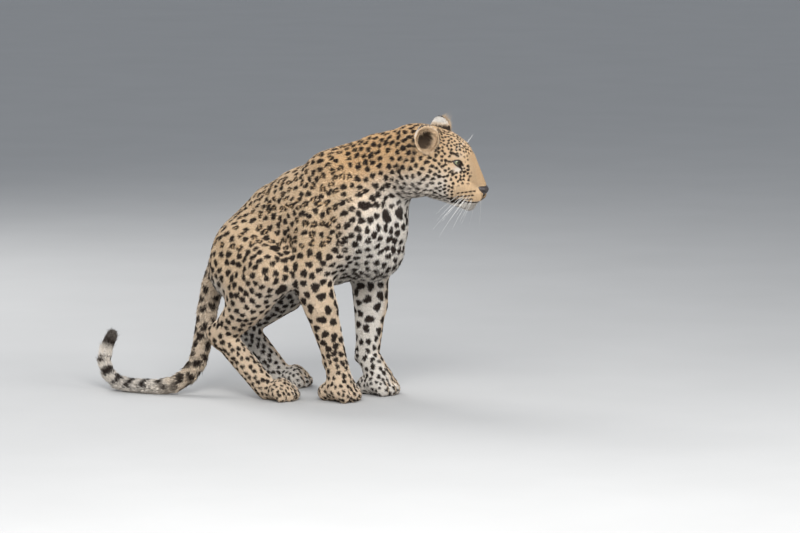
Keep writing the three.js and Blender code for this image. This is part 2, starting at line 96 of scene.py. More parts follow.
# The head's own frame: x to the nose, y left, z up
HEAD_AT = np.array((198, 4, 578)) * MM
HEAD_YAW, HEAD_ROLL = radians(4), radians(5)
EYE_AT, EYE_R = np.array((64, 33.5, 4.5)) * MM, 15 * MM
EYE_OUT, EYE_DOWN, EYE_TILT = radians(24), radians(8), radians(16)
EYE_LONG, EYE_HIGH, LID = 13.5 * MM, 6.8 * MM, 2.2 * MM
EAR_AT, EAR_OUT, EAR_LEAN = np.array((8, 58, 61)) * MM, radians(56), radians(16)
EAR_RADII, EAR_WALL = np.array((25, 31, 35)) * MM, 3.2 * MM
NOSE_AT, NOSE_RADII, NOSE_PITCH = np.array((121, 0, -63)) * MM, np.array((14, 19, 14)) * MM, radians(25)
MOUTH_PATH = np.array([(124, 0, -91), (115, 18, -92), (95, 31, -91), (70, 40, -87), (56, 43, -82)]) * MM


def turn_z(angle):
    """The matrix that turns by angle about z."""
    return np.array([[cos(angle), -sin(angle), 0], [sin(angle), cos(angle), 0], [0, 0, 1]])


def turn_x(angle):
    """The matrix that turns by angle about x."""
    return np.array([[1, 0, 0], [0, cos(angle), -sin(angle)], [0, sin(angle), cos(angle)]])


def turn_y(angle):
    """The matrix that turns by angle about y."""
    return np.array([[cos(angle), 0, sin(angle)], [0, 1, 0], [-sin(angle), 0, cos(angle)]])


HEAD_TURN = turn_z(HEAD_YAW) @ turn_x(HEAD_ROLL)


def to_head(points):
    """Points in the animal's frame, told in the head's frame."""
    return (points - HEAD_AT) @ HEAD_TURN


def from_head(points):
    """Points in the head's frame, told in the animal's frame."""
    return points @ HEAD_TURN.T + HEAD_AT


def folded(q):
    """Points in the head's frame with its right half folded over onto its left."""
    return np.stack([q[:, 0], np.abs(q[:, 1]), q[:, 2]], 1)


def on_side(place, side):
    """A place in metres, given for the left side, on the side asked for."""
    return place * np.array((1.0, side, 1.0))


def unit(vectors):
    """Each row divided by its length."""
    return vectors / np.maximum(np.linalg.norm(vectors, axis=-1, keepdims=True), 1e-12)


def ramp(x, low, high):
    """0 below low, 1 above high, and 3t^2 - 2t^3 between."""
    t = np.clip((x - low) / (high - low), 0.0, 1.0)
    return t * t * (3.0 - 2.0 * t)


# The row's frame has its origin at the middle of the box's floor; the eye says how far that is from ours.
eye_low, eye_high = (np.array(c, float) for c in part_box("eye_right"))
OFFSET = (eye_low + eye_high) / 2 - from_head(on_side(EYE_AT, RIGHT)[None])[0]
OFFSET[2] = 0.0


# The field

def capsule(p, a, b, ra, rb, ka=1.0, kb=1.0):
    """Distance to a segment less a radius that runs from ra to rb, with y shrunk by a share from ka to kb."""
    a, b = np.asarray(a, float) * MM, np.asarray(b, float) * MM
    along = b - a
    t = np.clip(((p - a) @ along) / (along @ along), 0, 1)
    q = p - a - t[:, None] * along
    wide = ka + (kb - ka) * t
    d = np.sqrt(q[:, 0] ** 2 + (q[:, 1] / wide) ** 2 + q[:, 2] ** 2) - (ra + (rb - ra) * t) * MM
    return d * np.minimum(1.0, wide)


def round_distance(q, r):
    """Near distance to an ellipsoid of radii r about the origin: k0 (k0 - 1) / k1, where k0 is the length
    of q / r and k1 that of q / r^2."""
    k0 = np.sqrt(((q / r) ** 2).sum(1)) + 1e-9
    k1 = np.sqrt(((q / r ** 2) ** 2).sum(1)) + 1e-9
    return k0 * (k0 - 1.0) / k1


def ellipsoid(p, centre, radii, pitch=0.0):
    """Near distance to an ellipsoid given in mm and tipped nose up by pitch."""
    return round_distance((p - np.array(centre) * MM) @ turn_y(-pitch).T, np.array(radii) * MM)


def melt(a, b, k):
    """The smaller of two distances, rounded where they are within k (in mm) of each other."""
    k = k * MM
    h = np.maximum(k - np.abs(a - b), 0.0) / k
    return np.minimum(a, b) - h * h * k / 4


def melt_all(parts, k):
    """melt over a list of distances."""
    out = parts[0]
    for part in parts[1:]:
        out = melt(out, part, k)
    return out


def chain(p, stations):
    """The least distance to the tapered capsules through the stations (place, radius, width share)."""
    out = None
    for first, second in zip(stations, stations[1:]):
        k = [s[2] if len(s) > 2 else 1.0 for s in (first, second)]
        d = capsule(p, first[0], second[0], first[1], second[1], *k)
        out = d if out is None else np.minimum(out, d)
    return out


def inside(p, low, high, shape):
    """shape(p) for the points within a box in mm, and far away for the rest, which saves time."""
    low, high = np.array(low) * MM, np.array(high) * MM
    out = np.full(len(p), 0.5)
    near = ((p > low) & (p < high)).all(1)
    if near.any():
        out[near] = shape(p[near])
    return out


def mirrored(place, side):
    """A place given for the left side, on the side asked for."""
    return (place[0], place[1] * side, place[2])


def shoulder(p, side):
    """Shoulder blade, upper arm and triceps."""
    elbow, point = mirrored(FORELEG[side]["elbow"], side), mirrored(SHOULDER_POINT, side)
    return melt_all([
        capsule(p, mirrored(SCAPULA_TOP, side), point, 43, 62, 0.75, 0.75),
        capsule(p, point, elbow, 59, 46),
        capsule(p, mirrored(TRICEPS, side), elbow, 50, 44),
    ], 30)


def forearm(p, side):
    """Elbow to wrist to the root of the paw, with the wrist's small pad behind."""
    leg = FORELEG[side]
    elbow, mid, wrist = (mirrored(leg[n], side) for n in ("elbow", "mid", "wrist"))
    paw_root = (leg["paw"][0] + 4, leg["paw"][1] * side, 44)
    arm = chain(p, [(elbow, 46), (mid, 39), (wrist, 27.5), (paw_root, 31, 1.05)])
    muscle_top = (elbow[0] + 4, elbow[1] + 6 * side, elbow[2] - 20)
    muscle = capsule(p, muscle_top, (mid[0] + 3, mid[1] + 3 * side, mid[2]), 42, 37)
    pad = capsule(p, (wrist[0] - 14, wrist[1], wrist[2] + 8), (wrist[0] - 20, wrist[1], wrist[2] - 6), 14, 12)
    return melt(melt(arm, muscle, 12), pad, 16)


def thigh(p, side):
    """Hip to knee, and the buttock."""
    return melt(
        capsule(p, mirrored(HIP, side), mirrored(KNEE, side), 80, 58),
        capsule(p, mirrored(BUTTOCK, side), mirrored(BUTTOCK_FORE, side), 70, 58),
        30,
    )


def shank(p, side):
    """Knee to hock, tapering into the tendon."""
    calf, hock = (mirrored(HINDLEG[side][n], side) for n in ("calf", "hock"))
    return chain(p, [(mirrored(KNEE, side), 55), (calf, 47), (hock, 29)])


def metatarsus(p, side):
    """Hock to the ball of the foot, with the point of the heel."""
    hock, ball = (mirrored(HINDLEG[side][n], side) for n in ("hock", "ball"))
    heel = (hock[0] - 18, hock[1], hock[2] + 7)
    return melt(capsule(p, hock, ball, 29, 27, 1.0, 1.1), capsule(p, hock, heel, 27, 20), 18)


def paw(p, place, side, size):
    """A pad body and four toes with clefts between them, the middle two further forward."""
    q = p.copy()
    q[:, 0] -= place["paw"][0] * MM
    q[:, 1] -= place["paw"][1] * side * MM
    q = q @ turn_z(radians(place["turn"]) * side) / size
    body = capsule(q, (-30, 0, 20), (10, 0, 28), 22, 29, 1.2, 1.2)
    toes = [
        melt(
            capsule(q, (6, j * 18, 26), (24, j * 19.5, 22), 16.0, 16.2),
            capsule(q, (24, j * 19.5, 22), (40 if abs(j) < 1 else 30, j * 21, 14.5), 16.2, 15.2),
            4,
        )
        for j in (-1.5, -0.5, 0.5, 1.5)
    ]
    return melt(body, melt_all(toes, 2.5), 12) * size


def eye_frame(side):
    """Rows: the eye's way out of the head, its way to its outer corner, and its up, in head axes."""
    turn = turn_z(EYE_OUT * side) @ turn_y(EYE_DOWN) @ turn_x(EYE_TILT * side)
    return turn.T * np.array((1.0, side, 1.0))[:, None]


def almond(along):
    """Height of the upper and lower lid's edge along the opening: two parabolas, with tips drawn out."""
    s = np.clip(along / EYE_LONG, -1.0, 1.0)
    middle = 0.14 * s * EYE_LONG
    half = EYE_HIGH * (1 - s * s) ** 0.8
    return middle + half, middle - half * 0.92


def mouth_distance(m):
    """Distance in the head's frame from the line of the mouth, in its outline from the side and above."""
    out = None
    for a, b in zip(MOUTH_PATH, MOUTH_PATH[1:]):
        t = np.clip(((m - a) @ (b - a)) / ((b - a) @ (b - a)), 0, 1)
        q = m - a - t[:, None] * (b - a)
        d = np.sqrt((q[:, 0] * 0.25) ** 2 + (q[:, 1] * 0.25) ** 2 + q[:, 2] ** 2)
        out = d if out is None else np.minimum(out, d)
    return out


def ear_axes(side):
    """Rows: the way the ear opens, its way across, and its way up, in head axes."""
    return (turn_z(EAR_OUT * side) @ turn_x(-EAR_LEAN * side)).T


def ear_hollow(m):
    """Near distance to the ellipsoid that the cup of the left ear holds, for points of the head's left."""
    return round_distance((m - EAR_AT) @ ear_axes(LEFT).T, EAR_RADII - EAR_WALL / 2)


def head(q):
    """Skull, cheeks, brows, bridge, whisker pads, jaw and lids; q is in the head's frame."""
    m = folded(q)
    skull = melt_all([
        ellipsoid(m, (-5, 0, 10), (80, 64, 66)),
        ellipsoid(m, (40, 0, 15), (50, 46, 48)),
        ellipsoid(m, (12, 38, -30), (56, 36, 42)),
        ellipsoid(m, (-28, 45, -33), (45, 34, 43)),
        ellipsoid(m, (46, 0, -46), (48, 33, 30)),
    ], 30)
    lids = np.linalg.norm(m - EYE_AT, axis=1) - EYE_R - LID
    face = melt_all([
        ellipsoid(m, (63, 26, 22), (24, 18, 17)),
        capsule(q, (83, 0, 2), (114, 0, -60), 26.5, 20.5, 1.0, 0.95),
        ellipsoid(m, (97, 18, -77), (31, 22, 22), radians(12)),
        ellipsoid(m, (54, 33, -56), (40, 26, 27)),
        capsule(m, (90, 3, -101), (20, 15, -66), 16.5, 25),
    ], 16)
    whole = melt(melt(skull, face, 20), lids, 7)
    out, along, up = ((m - EYE_AT) @ axis for axis in eye_frame(LEFT))
    high, low = almond(along)
    opening = np.maximum(np.maximum(up - high, low - up), np.abs(along) - EYE_LONG)
    whole = np.maximum(whole, -np.maximum(opening, 0.004 - out))
    beyond = np.maximum(0, np.abs(along) - EYE_LONG)
    fold = np.abs(up - high - 3.2 * MM - 1.5 * MM * np.abs(along) / EYE_LONG) * 1.2 + beyond
    whole = whole + np.where(out > 0, 0.9 * MM * np.exp(-(fold / (1.2 * MM)) ** 2), 0)
    cleft = np.abs(q[:, 1]) + np.maximum(0, np.abs(q[:, 2] + 0.083) - 0.008) + np.maximum(0, 0.11 - q[:, 0])
    mouth = np.exp(-(mouth_distance(m) / (1.5 * MM)) ** 2) * 3.0 * MM
    groove = np.exp(-(cleft / (1.4 * MM)) ** 2) * 1.4 * MM
    return whole + (mouth + groove)


def masses():
    """Each mass: its name, the low and high corners in mm of the box that holds it, and its distance."""
    rows = [
        ("trunk", (-420, -220, 120), (220, 220, 680), lambda p: melt(chain(p, TRUNK), chain(p, BELLY), 50)),
        ("neck", (-200, -200, 300), (300, 200, 760), lambda p: chain(p, NECK)),
        ("tail", (-680, -220, -40), (-230, 120, 430), lambda p: chain(p, TAIL)),
    ]
    for side in (RIGHT, LEFT):
        y0, y1 = sorted((-30 * side, 240 * side))
        rows += [
            (f"shoulder{side}", (-200, y0, 220), (160, y1, 680), lambda p, s=side: shoulder(p, s)),
            (f"forearm{side}", (-190, y0, -40), (130, y1, 430), lambda p, s=side: forearm(p, s)),
            (f"forepaw{side}", (-110, y0, -40), (150, y1, 120), lambda p, s=side: paw(p, FORELEG[s], s, 1.0)),
            (f"thigh{side}", (-410, y0, 150), (-40, y1, 480), lambda p, s=side: thigh(p, s)),
            (f"shank{side}", (-430, y0, 60), (-50, y1, 430), lambda p, s=side: shank(p, s)),
            (f"metatarsus{side}", (-430, y0, -40), (-110, y1, 240), lambda p, s=side: metatarsus(p, s)),
            (f"hindpaw{side}", (-340, y0, -40), (-50, y1, 120),
             lambda p, s=side: paw(p, HINDLEG[s], s, HIND_PAW_SIZE)),
        ]
    rows.append(("head", (60, -180, 400), (400, 180, 760), lambda p: head(to_head(p))))
    return rows


MASSES = masses()
NAMES = [row[0] for row in MASSES]
KINDS = [name.rstrip("-1") for name in NAMES]
MELT = {"neck": 50, "tail": 22, "shoulder": 35, "forearm": 20, "forepaw": 18, "thigh": 35, "shank": 30,
        "metatarsus": 15, "hindpaw": 18, "head": 40}


def distances(p):
    """One column of distances for each mass."""
    return np.stack([inside(p, low, high, shape) for _, low, high, shape in MASSES], 1)


def whole(table):
    """All masses melted together, in the order of the list."""
    out = table[:, 0]
    for i, kind in enumerate(KINDS[1:], 1):
        out = melt(out, table[:, i], MELT[kind])
    return out


def nearness(table, width):
    """Each mass's share at each point, by how near it is: exp(-(distance past the nearest) / width in mm)."""
    share = np.exp(-np.maximum(table - table.min(1, keepdims=True), 0) / (width * MM))
    return share / share.sum(1, keepdims=True)


# The coat on each mass: tuft length and width in mm, lift off the skin, tufts per area against the trunk's
COAT = {
    "trunk": (9.5, 1.8, 0.19, 1.0), "neck": (10.5, 1.8, 0.19, 1.1), "tail": (16, 2.1, 0.22, 1.5),
    "shoulder": (9.5, 1.7, 0.18, 1.1), "forearm": (8, 1.6, 0.15, 1.55), "forepaw": (6, 1.3, 0.15, 2.2),
    "thigh": (9.5, 1.7, 0.18, 1.1), "shank": (9, 1.7, 0.15, 1.5), "metatarsus": (7.5, 1.5, 0.15, 1.8),
    "hindpaw": (6, 1.3, 0.15, 2.2), "head": (5.5, 1.0, 0.17, 3.9),
}


def coat_table(p, table):
    """Tuft length, width, lift and density at each point, blended between the masses by nearness."""
    near = nearness(table, 12)
    out = near @ np.array([COAT[kind] for kind in KINDS])
    q = to_head(p)
    on_head = near[:, NAMES.index("head")]
    face = ramp(q[:, 0], 0.0, 0.085) * on_head
    out[:, 0] *= 1 + (0.35 * on_head - 0.72 * face)
    out[:, 1] *= 1 + (0.25 * on_head - 0.5 * face)
    out[:, 3] *= 1 + 0.9 * face - 0.35 * (on_head - face)
    ruff = on_head * ramp(-q[:, 2], 0.01, 0.06) * ramp(0.055 - q[:, 0], 0, 0.05)
    chin = on_head * ramp(-q[:, 2], 0.095, 0.112) * ramp(q[:, 0], 0.03, 0.07)
    out[:, 0] *= 1 + 0.9 * ruff + 0.9 * chin
    out[:, 2] *= 1 + 0.5 * ruff + 0.6 * chin
    belly = (near[:, 0] + 0.5 * near[:, 1]) * ramp(0.40 - p[:, 2], 0, 0.10)
    out[:, 0] *= 1 + 0.55 * belly
    out[:, 2] *= 1 + 0.5 * belly
    return out


def coat_depth(table, p):
    """How far the skin lies under the tips of the coat: the tuft's length times its lift, and 0.6 mm."""
    rows = coat_table(p, table)
    return (rows[:, 0] * rows[:, 2] * 0.75 + 0.6) * MM


def skin_field(p):
    """The field of the coat's tips, moved in by the coat's depth, less the hollows of the ears."""
    table = distances(p)
    skin = whole(table) + coat_depth(table, p)
    q = to_head(p)
    return -melt(-skin, ear_hollow(folded(q)), 3)


# Meshing: a grid whose steps shrink to a third about the head

FINE_AT = HEAD_AT + np.array((0.02, 0, -0.015))
FINE_SHARE, FINE_TO, COARSE_FROM = 0.32, 0.11, 0.33
STEP = 0.0058
BLOCK = 4


def zoomed(q):
    """Moves grid points towards the head's middle: the radius is the integral of a step that grows from
    a small share near the middle to the full one further out."""
    d = q - FINE_AT
    r = np.linalg.norm(d, axis=1) + 1e-9
    t = np.clip((r - FINE_TO) / (COARSE_FROM - FINE_TO), 0, 1)
    grown = (COARSE_FROM - FINE_TO) * (t ** 3 - t ** 4 / 2)
    beyond = np.maximum(r - COARSE_FROM, 0)
    g = FINE_SHARE * r + (1 - FINE_SHARE) * (grown + beyond)
    return FINE_AT + d * (g / r)[:, None]


def sampled(low, high):
    """The field on the grid's points near the surface, and a coarse value elsewhere."""
    n = (np.ceil((high - low) / STEP / BLOCK).astype(int)) * BLOCK + 1
    coarse_n = (n - 1) // BLOCK + 1
    corner = np.stack(np.meshgrid(*[np.arange(k) for k in coarse_n], indexing="ij"), -1).reshape(-1, 3)
    place = low + STEP * BLOCK * corner
    field = np.empty(len(place))
    for i in range(0, len(place), 200000):
        field[i:i + 200000] = skin_field(zoomed(place[i:i + 200000]))
    scale = np.linalg.norm(zoomed(place + (STEP, 0, 0)) - zoomed(place), axis=1) / STEP
    near = (np.abs(field) < STEP * BLOCK * 2.0 * np.maximum(scale, 0.45)).reshape(coarse_n)
    blocks = np.zeros(coarse_n - 1, bool)
    for dx, dy, dz in np.ndindex(2, 2, 2):
        c = coarse_n - 1
        blocks |= near[dx:c[0] + dx, dy:c[1] + dy, dz:c[2] + dz]
    grid = field.reshape(coarse_n)
    for axis in range(3):
        grid = np.repeat(grid, BLOCK, axis)
    grid = grid[:n[0], :n[1], :n[2]].astype(np.float32)
    wanted = np.zeros(n, bool)
    cells = np.argwhere(blocks) * BLOCK
    for dx, dy, dz in np.ndindex(BLOCK + 1, BLOCK + 1, BLOCK + 1):
        wanted[cells[:, 0] + dx, cells[:, 1] + dy, cells[:, 2] + dz] = True
    fine = np.argwhere(wanted)
    values = np.empty(len(fine), np.float32)
    for i in range(0, len(fine), 200000):
        values[i:i + 200000] = skin_field(zoomed(low + STEP * fine[i:i + 200000]))
    grid[wanted] = values
    return grid


def surface_nets(grid):
    """One vertex in each cell that the surface crosses, at the mean of its edge crossings, and one quad
    for each grid edge that the surface crosses."""
    n = np.array(grid.shape)
    cells = n - 1
    below = grid < 0
    sums = np.zeros((int(cells.prod()), 4))
    edges = []
    for axis in range(3):
        first, second = [slice(None)] * 3, [slice(None)] * 3
        first[axis], second[axis] = slice(0, n[axis] - 1), slice(1, n[axis])
        crossed = below[tuple(first)] != below[tuple(second)]
        at = np.argwhere(crossed)
        a, b = grid[tuple(first)][crossed], grid[tuple(second)][crossed]
        place = at.astype(float)
        place[:, axis] += a / (a - b)
        edges.append((axis, at, a < 0))
        others = [k for k in range(3) if k != axis]
        for s1, s2 in np.ndindex(2, 2):
            cell = at.copy()
            cell[:, others[0]] -= s1
            cell[:, others[1]] -= s2
            ok = (cell >= 0).all(1) & (cell < cells).all(1)
            flat = np.ravel_multi_index(cell[ok].T, cells)
            for k in range(3):
                sums[:, k] += np.bincount(flat, place[ok, k], minlength=len(sums))
            sums[:, 3] += np.bincount(flat, minlength=len(sums))
    used = sums[:, 3] > 0
    number = np.full(len(sums), -1)
    number[used] = np.arange(used.sum())
    points = sums[used, :3] / sums[used, 3:]
    quads = []
    for axis, at, inward in edges:
        o1, o2 = (axis + 1) % 3, (axis + 2) % 3
        corners = []
        for s1, s2 in ((1, 1), (0, 1), (0, 0), (1, 0)):
            cell = at.copy()
            cell[:, o1] -= s1
            cell[:, o2] -= s2
            corners.append(number[np.ravel_multi_index(cell.T, cells)])
        quad = np.stack(corners, 1)
        quad[~inward] = quad[~inward][:, ::-1]
        quads.append(quad)
    return points, np.concatenate(quads)


def gradient(p, step=0.0008):
    """Unit outward slope of the skin's field by central differences."""
    out = np.empty_like(p)
    for axis in range(3):
        shift = np.zeros(3)
        shift[axis] = step
        out[:, axis] = skin_field(p + shift) - skin_field(p - shift)
    return unit(out)


def skin_surface():
    """Vertices, quads and normals of the skin, its floor side flattened at the floor."""
    low, high = np.array((-0.80, -0.36, -0.20)), np.array((0.56, 0.36, 0.86))
    grid = sampled(low, high)
    points, quads = surface_nets(grid)
    points = zoomed(low + STEP * points)
    for _ in range(2):
        value = skin_field(points)
        points -= gradient(points) * np.clip(value, -0.001, 0.001)[:, None]
    normals = gradient(points)
    points[:, 2] = np.maximum(points[:, 2], 0.0002)
    return points, quads, normals


# Meshes and materials

def mesh_object(name, points, faces):
    """A mesh object at the origin, from points moved to the row's frame and faces of one number of sides."""
    mesh = bpy.data.meshes.new(name)
    faces = np.asarray(faces)
    count, sides = faces.shape
    mesh.vertices.add(len(points))
    mesh.vertices.foreach_set("co", np.ascontiguousarray(points + OFFSET, np.float32).ravel())
    mesh.loops.add(count * sides)
    mesh.loops.foreach_set("vertex_index", faces.astype(np.int32).ravel())
    mesh.polygons.add(count)
    mesh.polygons.foreach_set("loop_start", np.arange(0, count * sides, sides, dtype=np.int32))
    mesh.polygons.foreach_set("use_smooth", np.full(count, True))
    mesh.update(calc_edges=True)
    mesh.validate()
    obj = bpy.data.objects.new(name, mesh)
    bpy.context.scene.collection.objects.link(obj)
    return obj


def add_values(obj, **values):
    """Stores one number a vertex under each name."""
    for name, numbers in values.items():
        layer = obj.data.attributes.new(name, "FLOAT", "POINT")
        layer.data.foreach_set("value", np.ascontiguousarray(numbers, np.float32))


def add_uv(obj, name, uv):
    """A UV map from one pair of numbers a vertex."""
    layer = obj.data.uv_layers.new(name=name)
    corner = np.empty(len(obj.data.loops), np.int32)
    obj.data.loops.foreach_get("vertex_index", corner)
    layer.data.foreach_set("uv", np.ascontiguousarray(uv[corner], np.float32).ravel())


class Nodes:
    """A small helper that makes shader nodes and links them by name."""

    def __init__(self, name):
        self.material = bpy.data.materials.new(name)
        self.material.use_nodes = True
        self.tree = self.material.node_tree
        self.shader = self.tree.nodes["Principled BSDF"]

    def make(self, kind, **settings):
        node = self.tree.nodes.new(kind)
        for key, value in settings.items():
            setattr(node, key, value)
        return node

    def join(self, source, target):
        self.tree.links.new(source, target)

    def attribute(self, name):
        return self.make("ShaderNodeAttribute", attribute_name=name).outputs["Fac"]

    def noise(self, scale, detail=3.0, stretch=None):
        where = self.make("ShaderNodeTexCoord").outputs["Object"]
        if stretch:
            mapping = self.make("ShaderNodeMapping")
            mapping.inputs["Scale"].default_value = stretch
            self.join(where, mapping.inputs["Vector"])
            where = mapping.outputs["Vector"]
        node = self.make("ShaderNodeTexNoise")
        node.inputs["Scale"].default_value = scale
        node.inputs["Detail"].default_value = detail
        self.join(where, node.inputs["Vector"])
        return node.outputs["Fac"]

    def times(self, a, b):
        node = self.make("ShaderNodeMath", operation="MULTIPLY")
        for socket, value in zip(node.inputs, (a, b)):
            if isinstance(value, (int, float)):
                socket.default_value = value
            else:
                self.join(value, socket)
        return node.outputs[0]

    def mix(self, share, a, b, kind="MIX"):
        node = self.make("ShaderNodeMix", data_type="RGBA", blend_type=kind)
        for socket, value in ((node.inputs[0], share), (node.inputs[6], a), (node.inputs[7], b)):
            if isinstance(value, (int, float)):
                socket.default_value = value
            elif isinstance(value, tuple):
                socket.default_value = (*value, 1.0)
            else:
                self.join(value, socket)
        return node.outputs[2]

    def bump(self, height, strength, distance):
        node = self.make("ShaderNodeBump")
        node.inputs["Strength"].default_value = strength
        node.inputs["Distance"].default_value = distance
        self.join(height, node.inputs["Height"])
        self.join(node.outputs["Normal"], self.shader.inputs["Normal"])

    def base(self, color):
        self.join(color, self.shader.inputs["Base Color"])

    def set(self, **values):
        for key, value in values.items():
            self.shader.inputs[key.replace("_", " ")].default_value = value


SAND = (0.72, 0.555, 0.375)
TAWNY = (0.70, 0.42, 0.18)
CREAM = (0.80, 0.765, 0.71)
SPOT_BLACK = (0.009, 0.007, 0.006)
SPOT_BROWN = (0.030, 0.016, 0.009)
BARE_SKIN = (0.010, 0.007, 0.006)


def coat_material(name, bumpy):
    """Sand to tawny to cream by the coat's attributes, black over them for the spots and for the painted
    shade in the ears' hollows, mottled by fine noise.
    """
    m = Nodes(name)
    spot, warm, pale = (m.attribute(n) for n in ("spot", "warm", "pale"))
    broad, fine = m.noise(38.0), m.noise(420.0, 2.0)
    ground = m.mix(warm, SAND, TAWNY)
    ground = m.mix(pale, ground, CREAM)
    ground = m.mix(m.times(broad, 0.25), ground, m.mix(0.5, ground, (0.40, 0.28, 0.17)))
    ground = m.mix(m.times(fine, 0.40), ground, (0.42, 0.33, 0.24), "MULTIPLY")
    black = m.mix(fine, SPOT_BLACK, SPOT_BROWN)
    m.base(m.mix(spot, ground, black))
    m.set(Roughness=0.75, Specular_IOR_Level=0.14, Sheen_Weight=0.03, Sheen_Roughness=0.5)
    if bumpy:
        m.bump(m.noise(650.0, 3.0, (1.0, 1.0, 0.35)), 0.5, 0.0008)
    return m.material


def plain_material(name, dark, light, scale, roughness, bump_strength, bump_distance, **settings):
    """Two close colours mixed by noise, with a fine bump of the same grain."""
    m = Nodes(name)
    grain = m.noise(scale, 4.0)
    m.base(m.mix(grain, dark, light))
    m.set(Roughness=roughness, **settings)
    m.bump(grain, bump_strength, bump_distance)
    return m.material


# Markings

def along_hair(p, table):
    """The lie of the hair: each mass's own direction, weighted by nearness, and laid on the skin later."""
    near = nearness(table, 14)
    return unit(sum(near[:, i:i + 1] * lie_of(name, p) for i, name in enumerate(NAMES)))


def line_lie(places, p):
    """The direction of the nearest stretch of a path through places in mm."""
    places = np.array(places, float) * MM
    middles = (places[1:] + places[:-1]) / 2
    ways = unit(places[1:] - places[:-1])
    weight = ((p[:, None] - middles[None]) ** 2).sum(2)
    weight = np.exp(-(weight - weight.min(1, keepdims=True)) / (30 * MM) ** 2)
    return unit(weight @ ways)


def lie_of(name, p):
    """The way the hair of one mass points: back along the trunk, down the legs, out to the tail's tip."""
    kind = name.rstrip("-1")
    side = RIGHT if name.endswith("-1") else LEFT
    if kind == "head":
        q = to_head(p)
        away = q - np.array((0.150, 0.0, -0.030))
        away[:, 1] *= 1.5
        away[:, 2] = away[:, 2] * 0.9 - 0.012
        return unit(away) @ HEAD_TURN.T
    if kind == "tail":
        return line_lie([s[0] for s in TAIL], p)
    if kind == "trunk":
        back = np.array((-1.0, 0.0, -0.75))
        low = ramp(0.42 - p[:, 2], 0, 0.1)[:, None]
        breast = ramp(p[:, 0], 0.02, 0.10)[:, None]
        return unit(back + low * np.array((0.1, 0, -0.35)) + breast * np.array((0.6, 0, -1.2)))
    if kind == "neck":
        return np.tile(unit(np.array((-1.0, 0.0, -0.62))), (len(p), 1))
    if kind == "shoulder":
        return np.tile(unit(np.array((-0.62, 0.0, -0.8))), (len(p), 1))
    if kind == "forearm":
        leg = FORELEG[side]
        return line_lie([mirrored(leg[n], side) for n in ("elbow", "mid", "wrist")], p)
    if kind == "thigh":
        return np.tile(unit(np.array((-0.25, 0.0, -1.0))), (len(p), 1))
    if kind == "shank":
        leg = HINDLEG[side]
        return line_lie([mirrored(n, side) for n in (KNEE, leg["calf"], leg["hock"])], p)
    if kind == "metatarsus":
        leg = HINDLEG[side]
        return line_lie([mirrored(n, side) for n in (leg["hock"], leg["ball"])], p)
    return np.tile(unit(np.array((1.0, 0.0, -0.55))), (len(p), 1))


def laid(direction, normal):
    """A direction with its part along the normal taken away."""
    return unit(direction - (direction * normal).sum(1, keepdims=True) * normal)


# Millimetres between the centres of the markings on each mass, and how open the rings are there
SPACING = {"trunk": 15.5, "neck": 16, "tail": 22, "shoulder": 18, "forearm": 23, "forepaw": 9.5, "thigh": 18,
           "shank": 16, "metatarsus": 12.5, "hindpaw": 9.5, "head": 12}
RING = {"trunk": 1.0, "shoulder": 0.5, "thigh": 0.6, "neck": 0.25, "tail": 0.3}
RING_SHARE = 0.6


def spot_spacing(p, table):
    """Metres between the centres: closer on the face and down the foreleg, wider on the breast."""
    near = nearness(table, 10)
    out = near @ np.array([SPACING[kind] for kind in KINDS], float)
    q = to_head(p)
    out -= near[:, NAMES.index("head")] * (3.5 * ramp(q[:, 0], 0.0, 0.06) + 1.5 * ramp(q[:, 2], 0.0, 0.04))
    low_leg = near[:, [kind == "forearm" for kind in KINDS]].sum(1) * ramp(0.2 - p[:, 2], 0, 0.12)
    breast = near[:, 0] * ramp(p[:, 0], 0.03, 0.10) * ramp(0.50 - p[:, 2], 0, 0.08)
    return (out - 9 * low_leg + 4 * breast) * MM


# Bold marks on both sides, listed in mm: down the thigh's front edge, and the necklace on the throat
BOLD = [
    (-152, 125, 366), (-166, 122, 328), (-158, 126, 298),
    (57, 80, 466), (74, 74, 447), (104, 60, 446), (126, 28, 452),
]
BOLD_GAP = 33 * MM


def spread_centres(points, spacing, rng, tries=60000):
    """Seeded places at least their spacing apart, the bold ones first: each place taken strikes out the
    candidates that are nearer to it than the mean of the two spacings."""
    bold = np.array([mirrored(place, side) for side in (RIGHT, LEFT) for place in BOLD]) * MM
    first = ((points[None] - bold[:, None]) ** 2).sum(2).argmin(1)
    spacing[first] = BOLD_GAP
    left = np.concatenate([first, rng.permutation(len(points))[:tries]])
    chosen = []
    while len(left):
        taken = left[0]
        chosen.append(taken)
        apart = ((points[left] - points[taken]) ** 2).sum(1) >= (0.5 * (spacing[left] + spacing[taken])) ** 2
        left = left[apart]
    return np.array(chosen)


